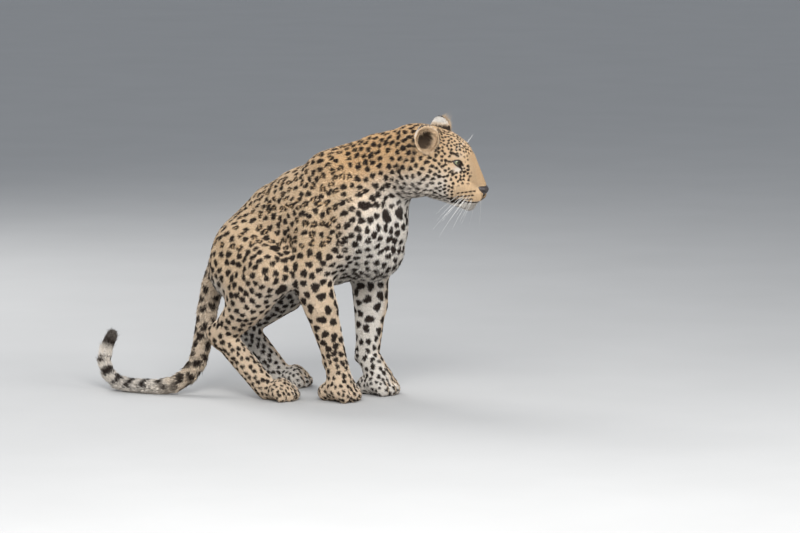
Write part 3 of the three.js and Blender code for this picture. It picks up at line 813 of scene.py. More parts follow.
class Markings:
    """Every rosette and spot: where it is, its frame on the skin, its size and its shape."""

    def __init__(self, points, normals, rng):
        table = distances(points)
        spacing = spot_spacing(points, table)
        chosen = spread_centres(points, spacing, rng)
        self.at = points[chosen]
        self.gap = spacing[chosen]
        normal = normals[chosen]
        spin = rng.normal(0, 0.45, len(chosen))
        self.tangent = laid(along_hair(self.at, table[chosen]), normal)
        across = np.cross(normal, self.tangent)
        self.tangent, self.across = (
            self.tangent * np.cos(spin)[:, None] + across * np.sin(spin)[:, None],
            across * np.cos(spin)[:, None] - self.tangent * np.sin(spin)[:, None],
        )
        may_open = (self.gap < BOLD_GAP) & (rng.random(len(chosen)) < RING_SHARE)
        self.open = self.openness(table[chosen]) * may_open
        self.phase = rng.uniform(0, 2 * pi, (3, len(chosen)))
        self.size = rng.uniform(0.88, 1.12, len(chosen))
        self.stretch = rng.uniform(0.95, 1.28, len(chosen))

    def openness(self, table):
        """1 where the marking is a broken ring, as on the flank and back, and 0 where it is a full spot."""
        share = nearness(table, 15) @ np.array([RING.get(kind, 0.0) for kind in KINDS])
        low = ramp(0.38 - self.at[:, 2], 0, 0.06)
        front = ramp(self.at[:, 0], 0.02, 0.08)
        return np.clip(share * (1 - low) * (1 - front), 0, 1)

    def spot(self, p):
        """How black each point is: inside its nearest centre's outline, a circle with three slow waves,
        and, where the marking is open, outside its inner ring or across one of the ring's breaks."""
        black = np.zeros(len(p))
        core = np.zeros(len(p))
        centres = self.at.astype(np.float32)
        for i in range(0, len(p), 8000):
            part = p[i:i + 8000].astype(np.float32)
            square = (part ** 2).sum(1)[:, None] + (centres ** 2).sum(1)[None] - 2 * part @ centres.T
            square /= (self.gap.astype(np.float32) ** 2)[None]
            for _ in range(2):
                c = square.argmin(1)
                square[np.arange(len(part)), c] = np.inf
                b, k = self.one(part, c)
                black[i:i + 8000] = np.maximum(black[i:i + 8000], b)
                core[i:i + 8000] = np.maximum(core[i:i + 8000], k)
        return black, core

    def one(self, part, c):
        """The blackness and the inner warmth that one centre gives a point."""
        d = part - self.at[c]
        a = (d * self.tangent[c]).sum(1) / self.stretch[c]
        b = (d * self.across[c]).sum(1) * self.stretch[c] ** 0.5
        radius = np.sqrt(a * a + b * b) / self.gap[c]
        angle = np.arctan2(b, a)
        wave = (0.07 * np.sin(2 * angle + self.phase[0, c]) + 0.06 * np.sin(3 * angle + self.phase[1, c])
                + 0.03 * np.sin(5 * angle + self.phase[2, c]))
        open_share = self.open[c]
        outer = (0.445 + 0.055 * open_share) * self.size[c] + 0.75 * wave
        full = ramp(outer - radius, -0.015, 0.02)
        inner = ramp(radius - 0.09 * self.size[c] + 0.5 * wave, -0.02, 0.02)
        gaps = 1 + (self.phase[1, c] > pi)
        breaks = ramp(np.cos(gaps * angle + self.phase[2, c]) + 0.965, 0.0, 0.06)
        ring = full * inner * breaks
        black = full * (1 - ramp(open_share, 0.3, 0.55)) + ring * ramp(open_share, 0.3, 0.55)
        return black, full * ramp(open_share, 0.3, 0.55)


# Dark strokes on the head, in mm in its frame: from, to, half width; the lip's corner, the brow, the cheek
FACE_STROKES = [
    ((58, 40, -92), (74, 38, -93), 6.5, 1.2),
    ((72, 20, 26), (79, 18, 20), 2.6), ((62, 26, 30), (68, 24, 28), 2.8),
    ((64, 40, -14), (60, 42, -17), 2.6), ((70, 38, -22), (66, 40, -25), 2.4),
]
BEHIND_EAR = ((-27, 50, 54), (-22, 50, 22), 7)
WHISKER_ROWS = (-65, -74, -83)


def head_marks(q, spots):
    """The face: the bare nose bridge, dark rims and tear lines, whisker rows, lip and brow marks. Each is
    a stroke between two places seen from the side, and across only loosely, on both halves alike."""
    m = folded(q)
    seen = np.array((1.0, 0.02, 1.0))

    def stroke(a, b, width, squash=1.0):
        a, b = np.array(a) * MM * seen, np.array(b) * MM * seen
        flat = m * seen
        t = np.clip(((flat - a) @ (b - a)) / max((b - a) @ (b - a), 1e-9), 0, 1)
        d = np.linalg.norm((flat - a - t[:, None] * (b - a)) * (1, 1, squash), axis=1) / (width * MM)
        return ramp(1.15 - d, 0, 0.35)

    out_way, along_way, up_way = eye_frame(LEFT)
    out, along, up = ((m - EYE_AT) @ way for way in (out_way, along_way, up_way))
    high, low = almond(along)
    edge = np.maximum(np.maximum(up - high, low - up), np.abs(along) - EYE_LONG)
    around = np.linalg.norm(m - EYE_AT - np.array((0.006, 0, 0)), axis=1)
    bridge = ramp(0.024 - m[:, 1], 0, 0.006) * ramp(m[:, 0], 0.074, 0.088) * ramp(-m[:, 2], -0.026, -0.014)
    muzzle = ramp(m[:, 0], 0.066, 0.076) * ramp(-m[:, 2], 0.042, 0.056)
    chin = ramp(-m[:, 2], 0.090, 0.098)
    clear = np.clip(bridge + muzzle + chin + ramp(0.026 - around, 0, 0.006), 0, 1)
    # The skull's skin inside each ear's hollow is painted near black: painted shade in the cup, not a
    # marking.
    result = np.maximum(spots * (1 - clear), 0.96 * ramp(0.0025 - ear_hollow(m), 0, 0.0025))
    result = np.maximum(result, 0.24 * bridge + 0.10 * muzzle * (1 - chin))
    inner = (EYE_AT + out_way * 0.008 - along_way * EYE_LONG) / MM
    outer = (EYE_AT + out_way * 0.006 + along_way * EYE_LONG) / MM
    tear = inner + (7, -2, -12)
    marks = [
        ramp(0.0030 - edge, 0, 0.0012) * (out > 0), 0.8 * stroke(*BEHIND_EAR), stroke(inner, tear, 2.6),
        stroke(tear, inner + (8, 0, -19), 1.7), stroke(outer, outer + (-11, 4, 3), 2.2),
    ]
    marks += [stroke(*mark) for mark in FACE_STROKES]
    for row, z in enumerate(WHISKER_ROWS):
        for i in range(5):
            x = 114 - 8.4 * i - 2.5 * row
            marks.append(stroke((x, 24, z - 0.4 * i), (x - 3.2, 24, z - 0.7 * i), 2.0) * (m[:, 1] > 0.011))
    below = ramp(0.0065 + 0.35 * (m[:, 2] + 0.090) - m[:, 1], 0, 0.002) * ramp(m[:, 0], 0.108, 0.114)
    marks.append(below * ramp(m[:, 2], -0.093, -0.091) * ramp(-0.055 - m[:, 2], 0, 0.004))
    lip = mouth_distance(m)
    marks.append(ramp(0.0036 - lip, 0, 0.0016) * ramp(m[:, 0], 0.035, 0.05))
    for mark in marks:
        result = np.maximum(result, mark)
    return result


def tail_bands(p, spots):
    """Bands across the tail past its middle, from the distance along it, broken on the pale underside."""
    path = np.array([s[0] for s in TAIL], float) * MM
    lengths = np.r_[0, np.cumsum(np.linalg.norm(np.diff(path, axis=0), axis=1))]
    nearest = ((p[:, None] - path[None]) ** 2).sum(2).argmin(1)
    nearest = np.clip(nearest, 1, len(path) - 2)
    way = unit(path[nearest + 1] - path[nearest - 1])
    along = lengths[nearest] + ((p - path[nearest]) * way).sum(1)
    offset = p - path[nearest]
    around = np.arctan2(offset[:, 1], offset[:, 2])
    wobble = 0.006 * np.sin(3 * around + along * 30)
    phase = np.mod(along + wobble, 0.041) / 0.041
    band = ramp(phase, 0.08, 0.16) * ramp(0.62 - phase, 0, 0.08)
    top = ramp(np.cos(around - pi * 0.1), -0.75, -0.25)
    share = ramp(along, 0.36, 0.46)
    tip = ramp(along, lengths[-1] - 0.035, lengths[-1] - 0.012)
    return np.maximum(spots * (1 - share) + band * top * share, 0.9 * tip * top), share


class Coat:
    """All that the colour of skin and hair depends on, at any point of the skin."""

    def __init__(self, markings):
        self.markings = markings

    def patch(self, m, place, stretch, size):
        """A soft pale patch near the eye: exp(-(distance / size)^2), each axis scaled by its stretch."""
        return np.exp(-(np.linalg.norm((m - EYE_AT - place) / stretch, axis=1) / size) ** 2)

    def values(self, p, normals):
        """spot, warm and pale at each point, each from 0 to 1."""
        table = distances(p)
        near = nearness(table, 16)
        share = {kind: near[:, [k == kind for k in KINDS]].sum(1) for kind in dict.fromkeys(KINDS)}
        spots, core = self.markings.spot(p)
        q = to_head(p)
        on_head, on_tail = share["head"], share["tail"]
        spots = spots * (1 - on_head) + head_marks(q, spots) * on_head
        bands, banded = tail_bands(p, spots)
        spots = spots * (1 - on_tail) + bands * on_tail
        down, out = -normals[:, 2], normals[:, 1] * np.sign(p[:, 1] + 1e-9)
        body = share["trunk"] + share["neck"] + share["shoulder"] + share["thigh"]
        legs = share["forearm"] + share["shank"] + share["metatarsus"] + share["forepaw"] + share["hindpaw"]
        low = ramp(0.47 - p[:, 2] - 0.9 * np.abs(p[:, 1]), 0, 0.10)
        breast = ramp(p[:, 0], -0.03, 0.12) * ramp(0.57 - p[:, 2], 0, 0.15)
        pale = body * np.clip(ramp(down, -0.25, 0.55) * (0.35 + 0.65 * low) + 0.95 * breast, 0, 1)
        pale += legs * (0.25 + 0.75 * ramp(0.15 - out, 0, 0.7))
        pale += on_tail * (0.35 + 0.5 * banded)
        cheek = ramp(-q[:, 2], -0.01, 0.045) * ramp(0.072 - q[:, 0], 0, 0.03)
        face = ramp(-q[:, 2], 0.086, 0.096) + 0.8 * cheek
        m = folded(q)
        under = self.patch(m, (0.010, 0.002, -0.016), (1, 1.2, 0.7), 0.013)
        over = self.patch(m, (0.010, -0.004, 0.016), (1, 1.2, 0.6), 0.011)
        pale += on_head * np.clip(face + 0.95 * under + 0.8 * over, 0, 1)
        high = ramp(p[:, 2], 0.46, 0.60)
        fore = ramp(p[:, 0], -0.16, 0.02)
        nape = high * fore
        warm = body * (0.10 + 0.66 * nape + 0.45 * core * (1 - nape)) + legs * 0.18 + 0.1 * on_tail
        warm += on_head * (0.14 + 0.3 * ramp(q[:, 2], -0.01, 0.05) * ramp(0.09 - q[:, 0], 0, 0.08))
        warm += on_head * (0.16 * ramp(0.022 - m[:, 1], 0, 0.012) + 0.14) * ramp(q[:, 0], 0.075, 0.10)
        return np.clip(spots, 0, 1), np.clip(warm, 0, 1), np.clip(pale, 0, 1)


# The coat's tufts

def sample_skin(points, quads, normals, rng, total):
    """Seeded places on the skin, denser where the coat table says: the triangle by its weight, and the
    place in it by two random shares folded into the triangle."""
    triangles = np.concatenate([quads[:, [0, 1, 2]], quads[:, [0, 2, 3]]])
    a, b, c = (points[triangles[:, k]] for k in range(3))
    area = np.linalg.norm(np.cross(b - a, c - a), axis=1) / 2
    middle = (a + b + c) / 3
    table = distances(middle)
    weight = area * coat_table(middle, table)[:, 3]
    weight *= middle[:, 2] > 0.002
    weight *= ~bare_places(middle)
    pick = np.sort(rng.choice(len(triangles), total, p=weight / weight.sum()))
    s, t = rng.random(total), rng.random(total)
    over = s + t > 1
    s[over], t[over] = 1 - s[over], 1 - t[over]
    shares = np.stack([1 - s - t, s, t], 1)[:, :, None]
    place = (points[triangles[pick]] * shares).sum(1)
    normal = unit((normals[triangles[pick]] * shares).sum(1))
    return place, normal


def bare_places(p):
    """True on the eyeball's opening, under the nose leather and in the hollow of each ear."""
    q = to_head(p)
    m = folded(q)
    out, along, up = ((m - EYE_AT) @ axis for axis in eye_frame(LEFT))
    high, low = almond(along)
    opening = (np.abs(along) < EYE_LONG * 1.06) & (up < high + 0.0016) & (up > low - 0.0016) & (out > 0)
    reach = NOSE_RADII * np.array((1.22, 1.08, 1.06))
    nose = (((m - NOSE_AT) @ turn_y(NOSE_PITCH) / reach) ** 2).sum(1) < 1
    return opening | nose | (ear_hollow(m) < 1.5 * MM)


TUFT_FACES = np.array([(0, 2, 1), (0, 3, 2), (0, 1, 3), (4, 1, 2), (4, 2, 3), (4, 3, 1)])


def tuft_mesh(root, normal, lie, length, width, lift, bend):
    """Five points a tuft: a sunk root, a three-sided middle ring that is wide and flat, and a bent tip.
    The middle lies 42 hundredths along the lie, raised by the lift; the tip bends back to the skin."""
    side = unit(np.cross(normal, lie))
    length, width, lift, bend = (v[:, None] for v in (length, width, lift, bend))
    base = root - normal * 0.35 * MM
    middle = root + lie * length * 0.42 + normal * length * lift * 0.62 + side * bend * length * 0.10
    ridge = middle + normal * width * 0.32
    tip = root + lie * length + normal * length * lift * 0.78 + side * bend * length * 0.34
    points = np.stack([base, middle - side * width / 2, middle + side * width / 2, ridge, tip], 1)
    faces = np.arange(len(root))[:, None, None] * 5 + TUFT_FACES[None]
    return points.reshape(-1, 3), faces.reshape(-1, 3)


# How many tufts the skin and each ear carry, and where a tuft's five points lie about its root's UV place
TUFTS, EAR_TUFTS = 232000, 6500
PATCH = np.array([(0, 0), (0.0012, 0.0014), (0.0012, -0.0014), (0.0014, 0.0), (0.003, 0)])


def unwrapped(p, part):
    """Each root's place on an unwrap of its part: length along the part, and angle round it."""
    if part == "tail":
        path = np.array([s[0] for s in TAIL], float) * MM
        near = ((p[:, None] - path[None]) ** 2).sum(2).argmin(1)
        offset = p - path[near]
        way = unit(np.gradient(path, axis=0))[near]
        u = (near + (offset * way).sum(1) / 0.04) / len(path)
        v = np.arctan2(offset[:, 1], offset[:, 2] + offset[:, 0] * 0.3)
    elif part in ("crown", "face"):
        q = to_head(p)
        u, v = (q[:, 0] + 0.10) / 0.26, np.arctan2(q[:, 1], q[:, 2] + 0.02)
    elif part.startswith(("foreleg", "hindleg")):
        centre = np.array((-0.03, 0.085) if part.startswith("foreleg") else (-0.24, 0.09))
        u, v = p[:, 2] / 0.62, np.arctan2(np.abs(p[:, 1]) - centre[1], p[:, 0] - centre[0])
    else:
        u, v = (p[:, 0] + 0.42) / 0.70, np.arctan2(p[:, 1], p[:, 2] - 0.40 - 0.25 * p[:, 0])
    return np.stack([np.clip(u, 0.002, 0.994), (v / (2 * pi) + 0.5) * 0.99 + 0.005], 1)


GROUP = {"shoulder": "foreleg", "forearm": "foreleg", "forepaw": "foreleg",
         "thigh": "hindleg", "shank": "hindleg", "metatarsus": "hindleg", "hindpaw": "hindleg"}


def part_of(p):
    """The name of the coat piece that each root belongs to, by its nearest mass."""
    table = distances(p)
    nearest = np.array(KINDS)[table.argmin(1)]
    out = np.array([GROUP.get(n, n) for n in nearest], dtype="<U16")
    q = to_head(p)
    out[(out == "head") & (q[:, 0] > 0.040)] = "face"
    out[out == "head"] = "crown"
    sided = np.isin(out, ("foreleg", "hindleg", "trunk", "face", "crown"))
    side = np.where((p[:, 1] > 0) | (np.isin(out, ("face", "crown")) & (q[:, 1] > 0)), "_left", "_right")
    return np.where(sided, np.char.add(out, side), out)


def coat_pieces(surface, coat, material, total):
    """One mesh for each part of the body, of closed tufts that take their colour at their root."""
    points, quads, normals = surface
    rng = np.random.default_rng(SEED + 1)
    root, normal = sample_skin(points, quads, normals, rng, total)
    table = distances(root)
    length, width, lift, _ = coat_table(root, table).T
    n = len(root)
    lie = along_hair(root, table)
    wind = np.sin(root @ np.array((61.0, 43.0, 57.0))) * 0.16 + rng.normal(0, 0.13, n)
    lie = laid(lie, normal)
    lie = unit(lie + np.cross(normal, lie) * wind[:, None])
    length = length * rng.uniform(0.7, 1.25, n) * MM
    width = width * rng.uniform(0.75, 1.2, n) * MM
    lift = lift * rng.uniform(0.6, 1.35, n)
    bend = rng.normal(0, 1.0, n)
    middle = coat.values(root + lie * 0.35 * length[:, None], normal)
    tip = coat.values(root + lie * 0.85 * length[:, None], normal)
    spot, warm, pale = (np.stack([a, a, a, a, b], 1) for a, b in zip(middle, tip))
    warm = np.clip(warm + 0.08 * rng.normal(0, 1, (n, 1)), 0, 1)
    pale = np.clip(pale + 0.05 * rng.normal(0, 1, (n, 1)), 0, 1)
    parts = part_of(root)
    for part in np.unique(parts):
        own = parts == part
        verts, faces = tuft_mesh(*(v[own] for v in (root, normal, lie, length, width, lift, bend)))
        verts[:, 2] = np.maximum(verts[:, 2], 0.0)
        obj = mesh_object(f"coat_{part}", verts, faces)
        add_values(obj, spot=spot[own].ravel(), warm=warm[own].ravel(), pale=pale[own].ravel())
        uv = unwrapped(root[own], part.split("_")[0])
        add_uv(obj, "OFBake", (uv[:, None] + PATCH[None]).reshape(-1, 2))
        obj.data.materials.append(material)
        finish_piece(obj, "coat")


def finish_piece(obj, slot, *nodes):
    """Rides the still body and stands for the CAD nodes named; the slot is not used."""
    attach(obj, "root")
    if nodes:
        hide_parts(*nodes)


# Ears, eyes, nose and whiskers

def grid_faces(rows, columns, closed=True):
    """Quads of a grid of rows by columns, each row closed on itself."""
    i, j = np.meshgrid(np.arange(rows - 1), np.arange(columns if closed else columns - 1), indexing="ij")
    a = i * columns + j
    b = i * columns + (j + 1) % columns
    return np.stack([a, b, b + columns, a + columns], -1).reshape(-1, 4)


def ear_surface(side, rows=34, columns=56):
    """A cup: the back half of an ellipsoid from its pole to a rim, rolled over the rim, and the hollow
    inside it back to its own pole. The rim waves a little, and the tip is rounder than the base."""
    s = np.linspace(0, 2, rows)[:, None]
    around = np.linspace(0, 2 * pi, columns, endpoint=False)[None]
    rim = radians(100) + radians(9) * np.sin(around) ** 2
    outer = np.clip(s, 0, 1) ** 0.85 * rim
    inner = np.clip(2 - s, 0, 1) ** 0.85 * (rim - radians(3))
    on_back = s <= 1
    polar = np.where(on_back, outer, inner)
    wall = np.where(on_back, 0.0, EAR_WALL * (1 - 0.25 * np.clip(s - 1, 0, 1)))
    wall = wall + np.where(on_back, 0.9 * MM * ramp(s, 0.9, 1.0), 0)
    x = -np.cos(polar) * (EAR_RADII[0] - wall) + np.where(on_back, 0, 3.0 * MM * ramp(s, 1.0, 1.6))
    ring = np.sin(polar)
    z = ring * np.sin(around) * (EAR_RADII[2] - wall - 1.0 * MM)
    taper = 1 - 0.16 * ramp(z / EAR_RADII[2], 0.1, 1.0)
    y = ring * np.cos(around) * (EAR_RADII[1] - wall - 1.0 * MM) * taper
    q = np.stack([x, y * side, z], -1).reshape(-1, 3)
    points = from_head(q @ ear_axes(side) + on_side(EAR_AT, side))
    faces = grid_faces(rows, columns)
    if side < 0:
        faces = faces[:, ::-1]
    return points, faces, np.repeat(s.ravel(), columns), np.tile(around.ravel(), rows)


def ear_colours(s, around):
    """Outside: tan base, black band, white patch, black tip. The rim is tan, and the deep hollow is painted
    black as painted shade.
    """
    high = np.sin(around)
    back = s <= 1.0
    band = ramp(s * high, -0.6, -0.4) * ramp(0.22 - s * high, 0, 0.10)
    tip = ramp(s * high, 0.68, 0.78)
    outside = np.clip(0.97 * band + 0.95 * tip, 0, 1) * ramp(0.98 - s, 0, 0.03)
    # Past the rim, deep in the hollow, the skin is painted black: painted shade in the cup, not a marking.
    spot = np.where(back, outside, 0.95 * ramp(s, 1.14, 1.36))
    pale = np.where(back, 0.25 + 0.75 * ramp(s * high, 0.20, 0.34) * ramp(0.97 - s, 0, 0.06), 0.12)
    warm = np.where(back, 0.3, 0.34)
    return spot, warm, pale


def ear(side, name, hide, hair):
    """The cup's skin, its thin fur outside, and the longer tan hairs that cross the front of its hollow."""
    points, faces, s, around = ear_surface(side)
    skin = mesh_object(f"{name}_skin", points, faces)
    spot, warm, pale = ear_colours(s, around)
    add_values(skin, spot=spot, warm=warm, pale=pale)
    skin.data.materials.append(hide)
    finish_piece(skin, "coat", name)
    rng = np.random.default_rng(SEED + 5 + side)
    a, b, c, d = (points[faces[:, k]] for k in range(4))
    area = np.linalg.norm(np.cross(c - a, d - b), axis=1)
    middle_s = s[faces].mean(1)
    edge = np.exp(-((middle_s - 1.02) / 0.07) ** 2)
    weight = area * (np.where(middle_s < 1.02, 0.8, 0.5 * ramp(1.6 - middle_s, 0, 0.3)) + 2.2 * edge)
    pick = rng.choice(len(faces), EAR_TUFTS, p=weight / weight.sum())
    u, v = rng.random((2, EAR_TUFTS, 1))
    root = (a[pick] * (1 - u) + b[pick] * u) * (1 - v) + (d[pick] * (1 - u) + c[pick] * u) * v
    normal = unit(np.cross(c[pick] - a[pick], d[pick] - b[pick]))
    axes = ear_axes(side)
    up, forward = HEAD_TURN @ axes[2], HEAD_TURN @ axes[0]
    root_s, spoke = middle_s[pick], around[faces[:, 0]][pick]
    outside = root_s < 1.0
    rooted_front = (~outside) & (np.cos(spoke) < 0.25) & (root_s < 1.45)
    across = np.cross(up, forward)
    lie = np.where(outside[:, None], up - forward * 0.25, up * 0.5 + forward * 0.5 + across * side * 0.7)
    lie = laid(lie + rng.normal(0, 0.22, (EAR_TUFTS, 3)), normal)
    length = np.where(outside, 6.5, np.where(rooted_front, 17, 7)) * rng.uniform(0.7, 1.3, EAR_TUFTS) * MM
    width = np.where(outside, 1.1, 0.8) * rng.uniform(0.8, 1.2, EAR_TUFTS) * MM
    lift = np.where(outside, 0.16, np.where(rooted_front, 0.5, 0.25)) * rng.uniform(0.6, 1.4, EAR_TUFTS)
    verts, tuft_faces = tuft_mesh(root, normal, lie, length, width, lift, rng.normal(0, 1, EAR_TUFTS))
    fur = mesh_object(f"{name}_fur", verts, tuft_faces)
    spot, warm, pale = ear_colours(root_s, spoke)
    spot = np.where(outside, spot, 0.0)
    pale = np.where(outside, pale, 0.12)
    add_values(fur, spot=np.repeat(spot, 5), warm=np.repeat(warm, 5), pale=np.repeat(pale, 5))
    uv = np.stack([root_s / 2 * 0.99, spoke / (2 * pi) * 0.99 + 0.004], 1)
    add_uv(fur, "OFBake", (uv[:, None] + PATCH[None]).reshape(-1, 2))
    fur.data.materials.append(hair)
    finish_piece(fur, "coat")


GAZE_OUT, GAZE_DOWN = radians(24), radians(6)


def eye(side, name, material):
    """A ball whose pole looks along the gaze, with a low corneal bulge; its UV is angle from the gaze and
    angle round it."""
    rows, columns = 44, 48
    polar = np.linspace(0, pi, rows)[:, None]
    around = np.linspace(0, 2 * pi, columns, endpoint=False)[None]
    bulge = 1 + 0.055 * np.exp(-(polar / 0.62) ** 4)
    r = (EYE_R - 0.3 * MM) * bulge
    x = r * np.cos(polar) + 0 * around
    y = r * np.sin(polar) * np.cos(around)
    z = r * np.sin(polar) * np.sin(around)
    turn = turn_z(GAZE_OUT * side) @ turn_y(GAZE_DOWN)
    q = np.stack([x, y, z], -1).reshape(-1, 3) @ turn.T + on_side(EYE_AT, side)
    obj = mesh_object(f"{name}_ball", from_head(q), grid_faces(rows, columns))
    uv = np.stack([np.repeat(polar.ravel(), columns) / pi, np.tile(around.ravel(), rows) / (2 * pi)], 1)
    add_uv(obj, "gaze", uv)
    add_values(obj, polar=uv[:, 0], around=np.abs(uv[:, 1] - 0.5) * 2)
    obj.data.materials.append(material)
    finish_piece(obj, "eye", name)


def eye_material():
    """Round pupil, iris of pale green-grey streaks with an amber inner ring, dark outer ring, dusky white."""
    m = Nodes("wet_eye")
    polar, around = m.attribute("polar"), m.attribute("around")
    streak = m.make("ShaderNodeTexNoise", noise_dimensions="2D")
    streak.inputs["Scale"].default_value = 1.0
    streak.inputs["Detail"].default_value = 3.0
    place = m.make("ShaderNodeCombineXYZ")
    m.join(m.times(polar, 9.0), place.inputs["X"])
    m.join(m.times(around, 42.0), place.inputs["Y"])
    m.join(place.outputs["Vector"], streak.inputs["Vector"])
    ramp_node = m.make("ShaderNodeValToRGB")
    stops = [(0.0, (0.003, 0.003, 0.003)), (0.074, (0.003, 0.003, 0.003)), (0.088, (0.16, 0.13, 0.05)),
             (0.125, (0.22, 0.25, 0.14)), (0.195, (0.17, 0.21, 0.14)), (0.225, (0.03, 0.027, 0.02)),
             (0.25, (0.03, 0.02, 0.016)), (0.36, (0.12, 0.08, 0.06))]
    elements = ramp_node.color_ramp.elements
    while len(elements) < len(stops):
        elements.new(0.5)
    for element, (where, color) in zip(elements, stops):
        element.position = where
        element.color = (*color, 1.0)
    m.join(polar, ramp_node.inputs["Fac"])
    shade = m.mix(streak.outputs["Fac"], (0.45, 0.42, 0.34), (1.0, 1.0, 0.95))
    m.base(m.mix(0.8, ramp_node.outputs["Color"], shade, "MULTIPLY"))
    m.set(Roughness=0.12, Coat_Weight=1.0, Coat_Roughness=0.02, Specular_IOR_Level=0.5)
    return m.material


def tube_along(points, radii, sides=8, up=(0.0, 0.0, 1.0)):
    """A closed tube: a circle of each radius square to the path at each of its points, and two end points."""
    points = np.asarray(points, float)
    radii = np.broadcast_to(radii, len(points))
    way = unit(np.gradient(points, axis=0))
    across = unit(np.cross(np.array(up)[None] + 1e-6, way))
    over = np.cross(way, across)
    around = np.linspace(0, 2 * pi, sides, endpoint=False)
    ring = across[:, None] * np.cos(around)[None, :, None] + over[:, None] * np.sin(around)[None, :, None]
    verts = points[:, None] + ring * radii[:, None, None]
    faces = grid_faces(len(points), sides)
    last = len(points) * sides
    verts = np.concatenate([verts.reshape(-1, 3), points[:1], points[-1:]])
    j = np.arange(sides)
    tri = np.concatenate([
        np.stack([np.full(sides, last), (j + 1) % sides, j], 1),
        np.stack([np.full(sides, last + 1), last - sides + j, last - sides + (j + 1) % sides], 1),
    ])
    quads_as_triangles = np.concatenate([faces[:, [0, 1, 2]], faces[:, [0, 2, 3]]])
    return verts, np.concatenate([quads_as_triangles, tri])


def eye_rim(side, name, material):
    """The dark wet edge of the lids: a tube along the almond's outline on a ball just over the eye's,
    drawn out to a point at the inner corner."""
    s = np.linspace(-1, 1, 40)
    high, low = almond(s * EYE_LONG)
    along = np.concatenate([s, s[::-1][1:-1]]) * EYE_LONG
    up = np.concatenate([high, low[::-1][1:-1]])
    corner = ramp(-along / EYE_LONG, 0.75, 1.0)
    along = along - corner * 2.6 * MM
    up = up - corner * 1.6 * MM
    radius = EYE_R + 1.1 * MM
    out = np.sqrt(np.maximum(radius ** 2 - along ** 2 - up ** 2, (3 * MM) ** 2))
    axes = eye_frame(side)
    q = out[:, None] * axes[0] + along[:, None] * axes[1] + up[:, None] * axes[2]
    q = q + on_side(EYE_AT, side)
    points = from_head(np.concatenate([q, q[:1]]))
    verts, faces = tube_along(points, 1.6 * MM, 8, (0.3, 0.9, 0.2))
    obj = mesh_object(name, verts, faces)
    obj.data.materials.append(material)
    finish_piece(obj, "nose_leather")


def nose_surface():
    """The nose leather: an ellipsoid, broad and flat above, narrowed and undercut below, with a
    comma-shaped hollow for each nostril and a shallow groove down the middle."""
    rows, columns = 60, 84
    polar = np.linspace(0, pi, rows)[:, None]
    around = np.linspace(0, 2 * pi, columns, endpoint=False)[None]
    x = np.cos(polar) + 0 * around
    y = np.sin(polar) * np.cos(around)
    z = np.sin(polar) * np.sin(around)
    narrow = 1 - 0.42 * ramp(-z, 0.15, 0.95)
    px, py, pz = x * NOSE_RADII[0] * 1.28, y * NOSE_RADII[1] * 1.10 * narrow, z * NOSE_RADII[2] * 1.10
    px = px - 4.0 * MM * ramp(-z, 0.1, 1.0)
    pz = pz * (1 - 0.22 * ramp(z, 0.0, 0.8) + 0.25 * ramp(-z, 0.0, 0.8))

    def hollow(aside, above, wide, high, deep):
        """A dent exp(-(dy / wide)^2 - (dz / high)^2) deep, on both sides, all in mm."""
        across, over = (np.abs(py) - aside * MM) / (wide * MM), (pz - above * MM) / (high * MM)
        return np.exp(-(across ** 2 + over ** 2)) * deep * MM

    dent = hollow(9.2, -1.8, 4.0, 2.5, 5.2)
    slit = hollow(14.0, -0.2, 3.6, 1.5, 3.0)
    groove = np.exp(-(py / (0.9 * MM)) ** 2) * 1.2 * MM * ramp(-pz, -0.004, 0.004)
    px = px - (dent + slit + groove) * ramp(x, 0.0, 0.4)
    q = np.stack([px, py, pz], -1).reshape(-1, 3) @ turn_y(NOSE_PITCH).T + NOSE_AT
    return from_head(q), grid_faces(rows, columns)


def whisker_set(rng):
    """Roots, ways and lengths of the long hairs: three rows on each pad and a few over each eye."""
    hairs = []
    for side in (RIGHT, LEFT):
        for row, z in enumerate((-68, -75, -82)):
            for i in range(4):
                root = np.array((113 - 8 * i - 2 * row, 24 + 3 * i + row, z)) * MM
                way = np.array((-0.30 - 0.16 * i, 1.0, -0.42 - 0.16 * row))
                hairs.append((root, way, rng.uniform(62, 105) * MM, 0.42 * MM, side, -0.34))
        for i in range(4):
            root = np.array((74 - 4 * i, 26 + 4 * i, 31 - 1.5 * i)) * MM
            way = np.array((0.75, 0.42, 0.75 - 0.1 * i))
            hairs.append((root, way, rng.uniform(34, 52) * MM, 0.30 * MM, side, 0.16))
    return hairs


def whiskers(material):
    """Long stiff hairs: tapered tubes along a parabola from the skin, in one mesh."""
    rng = np.random.default_rng(SEED + 9)
    verts, faces, count = [], [], 0
    t = np.linspace(0, 1, 12)[:, None]
    for root, way, length, radius, side, sag in whisker_set(rng):
        way = unit((way + rng.normal(0, 0.07, 3))[None])[0]
        path = root - way * 0.004 + way * length * t + np.array((-0.12, 0, sag)) * length * t ** 2
        path = from_head(on_side(path, side))
        v, f = tube_along(path, (radius * (1 - 0.88 * t[:, 0])), 5, (0.2, 0.1, 1.0))
        verts.append(v)
        faces.append(f + count)
        count += len(v)
    obj = mesh_object("whiskers", np.concatenate(verts), np.concatenate(faces))
    obj.data.materials.append(material)
    finish_piece(obj, "whisker")


# Putting it together

LIMBS = ("foreleg", "forepaw", "hindleg", "hindpaw")
FLESH = ["torso", "neck", "head", *(f"{limb}_{word}" for limb in LIMBS for word in ("left", "right")),
         "tail_base", "tail_middle", "tail_tip"]


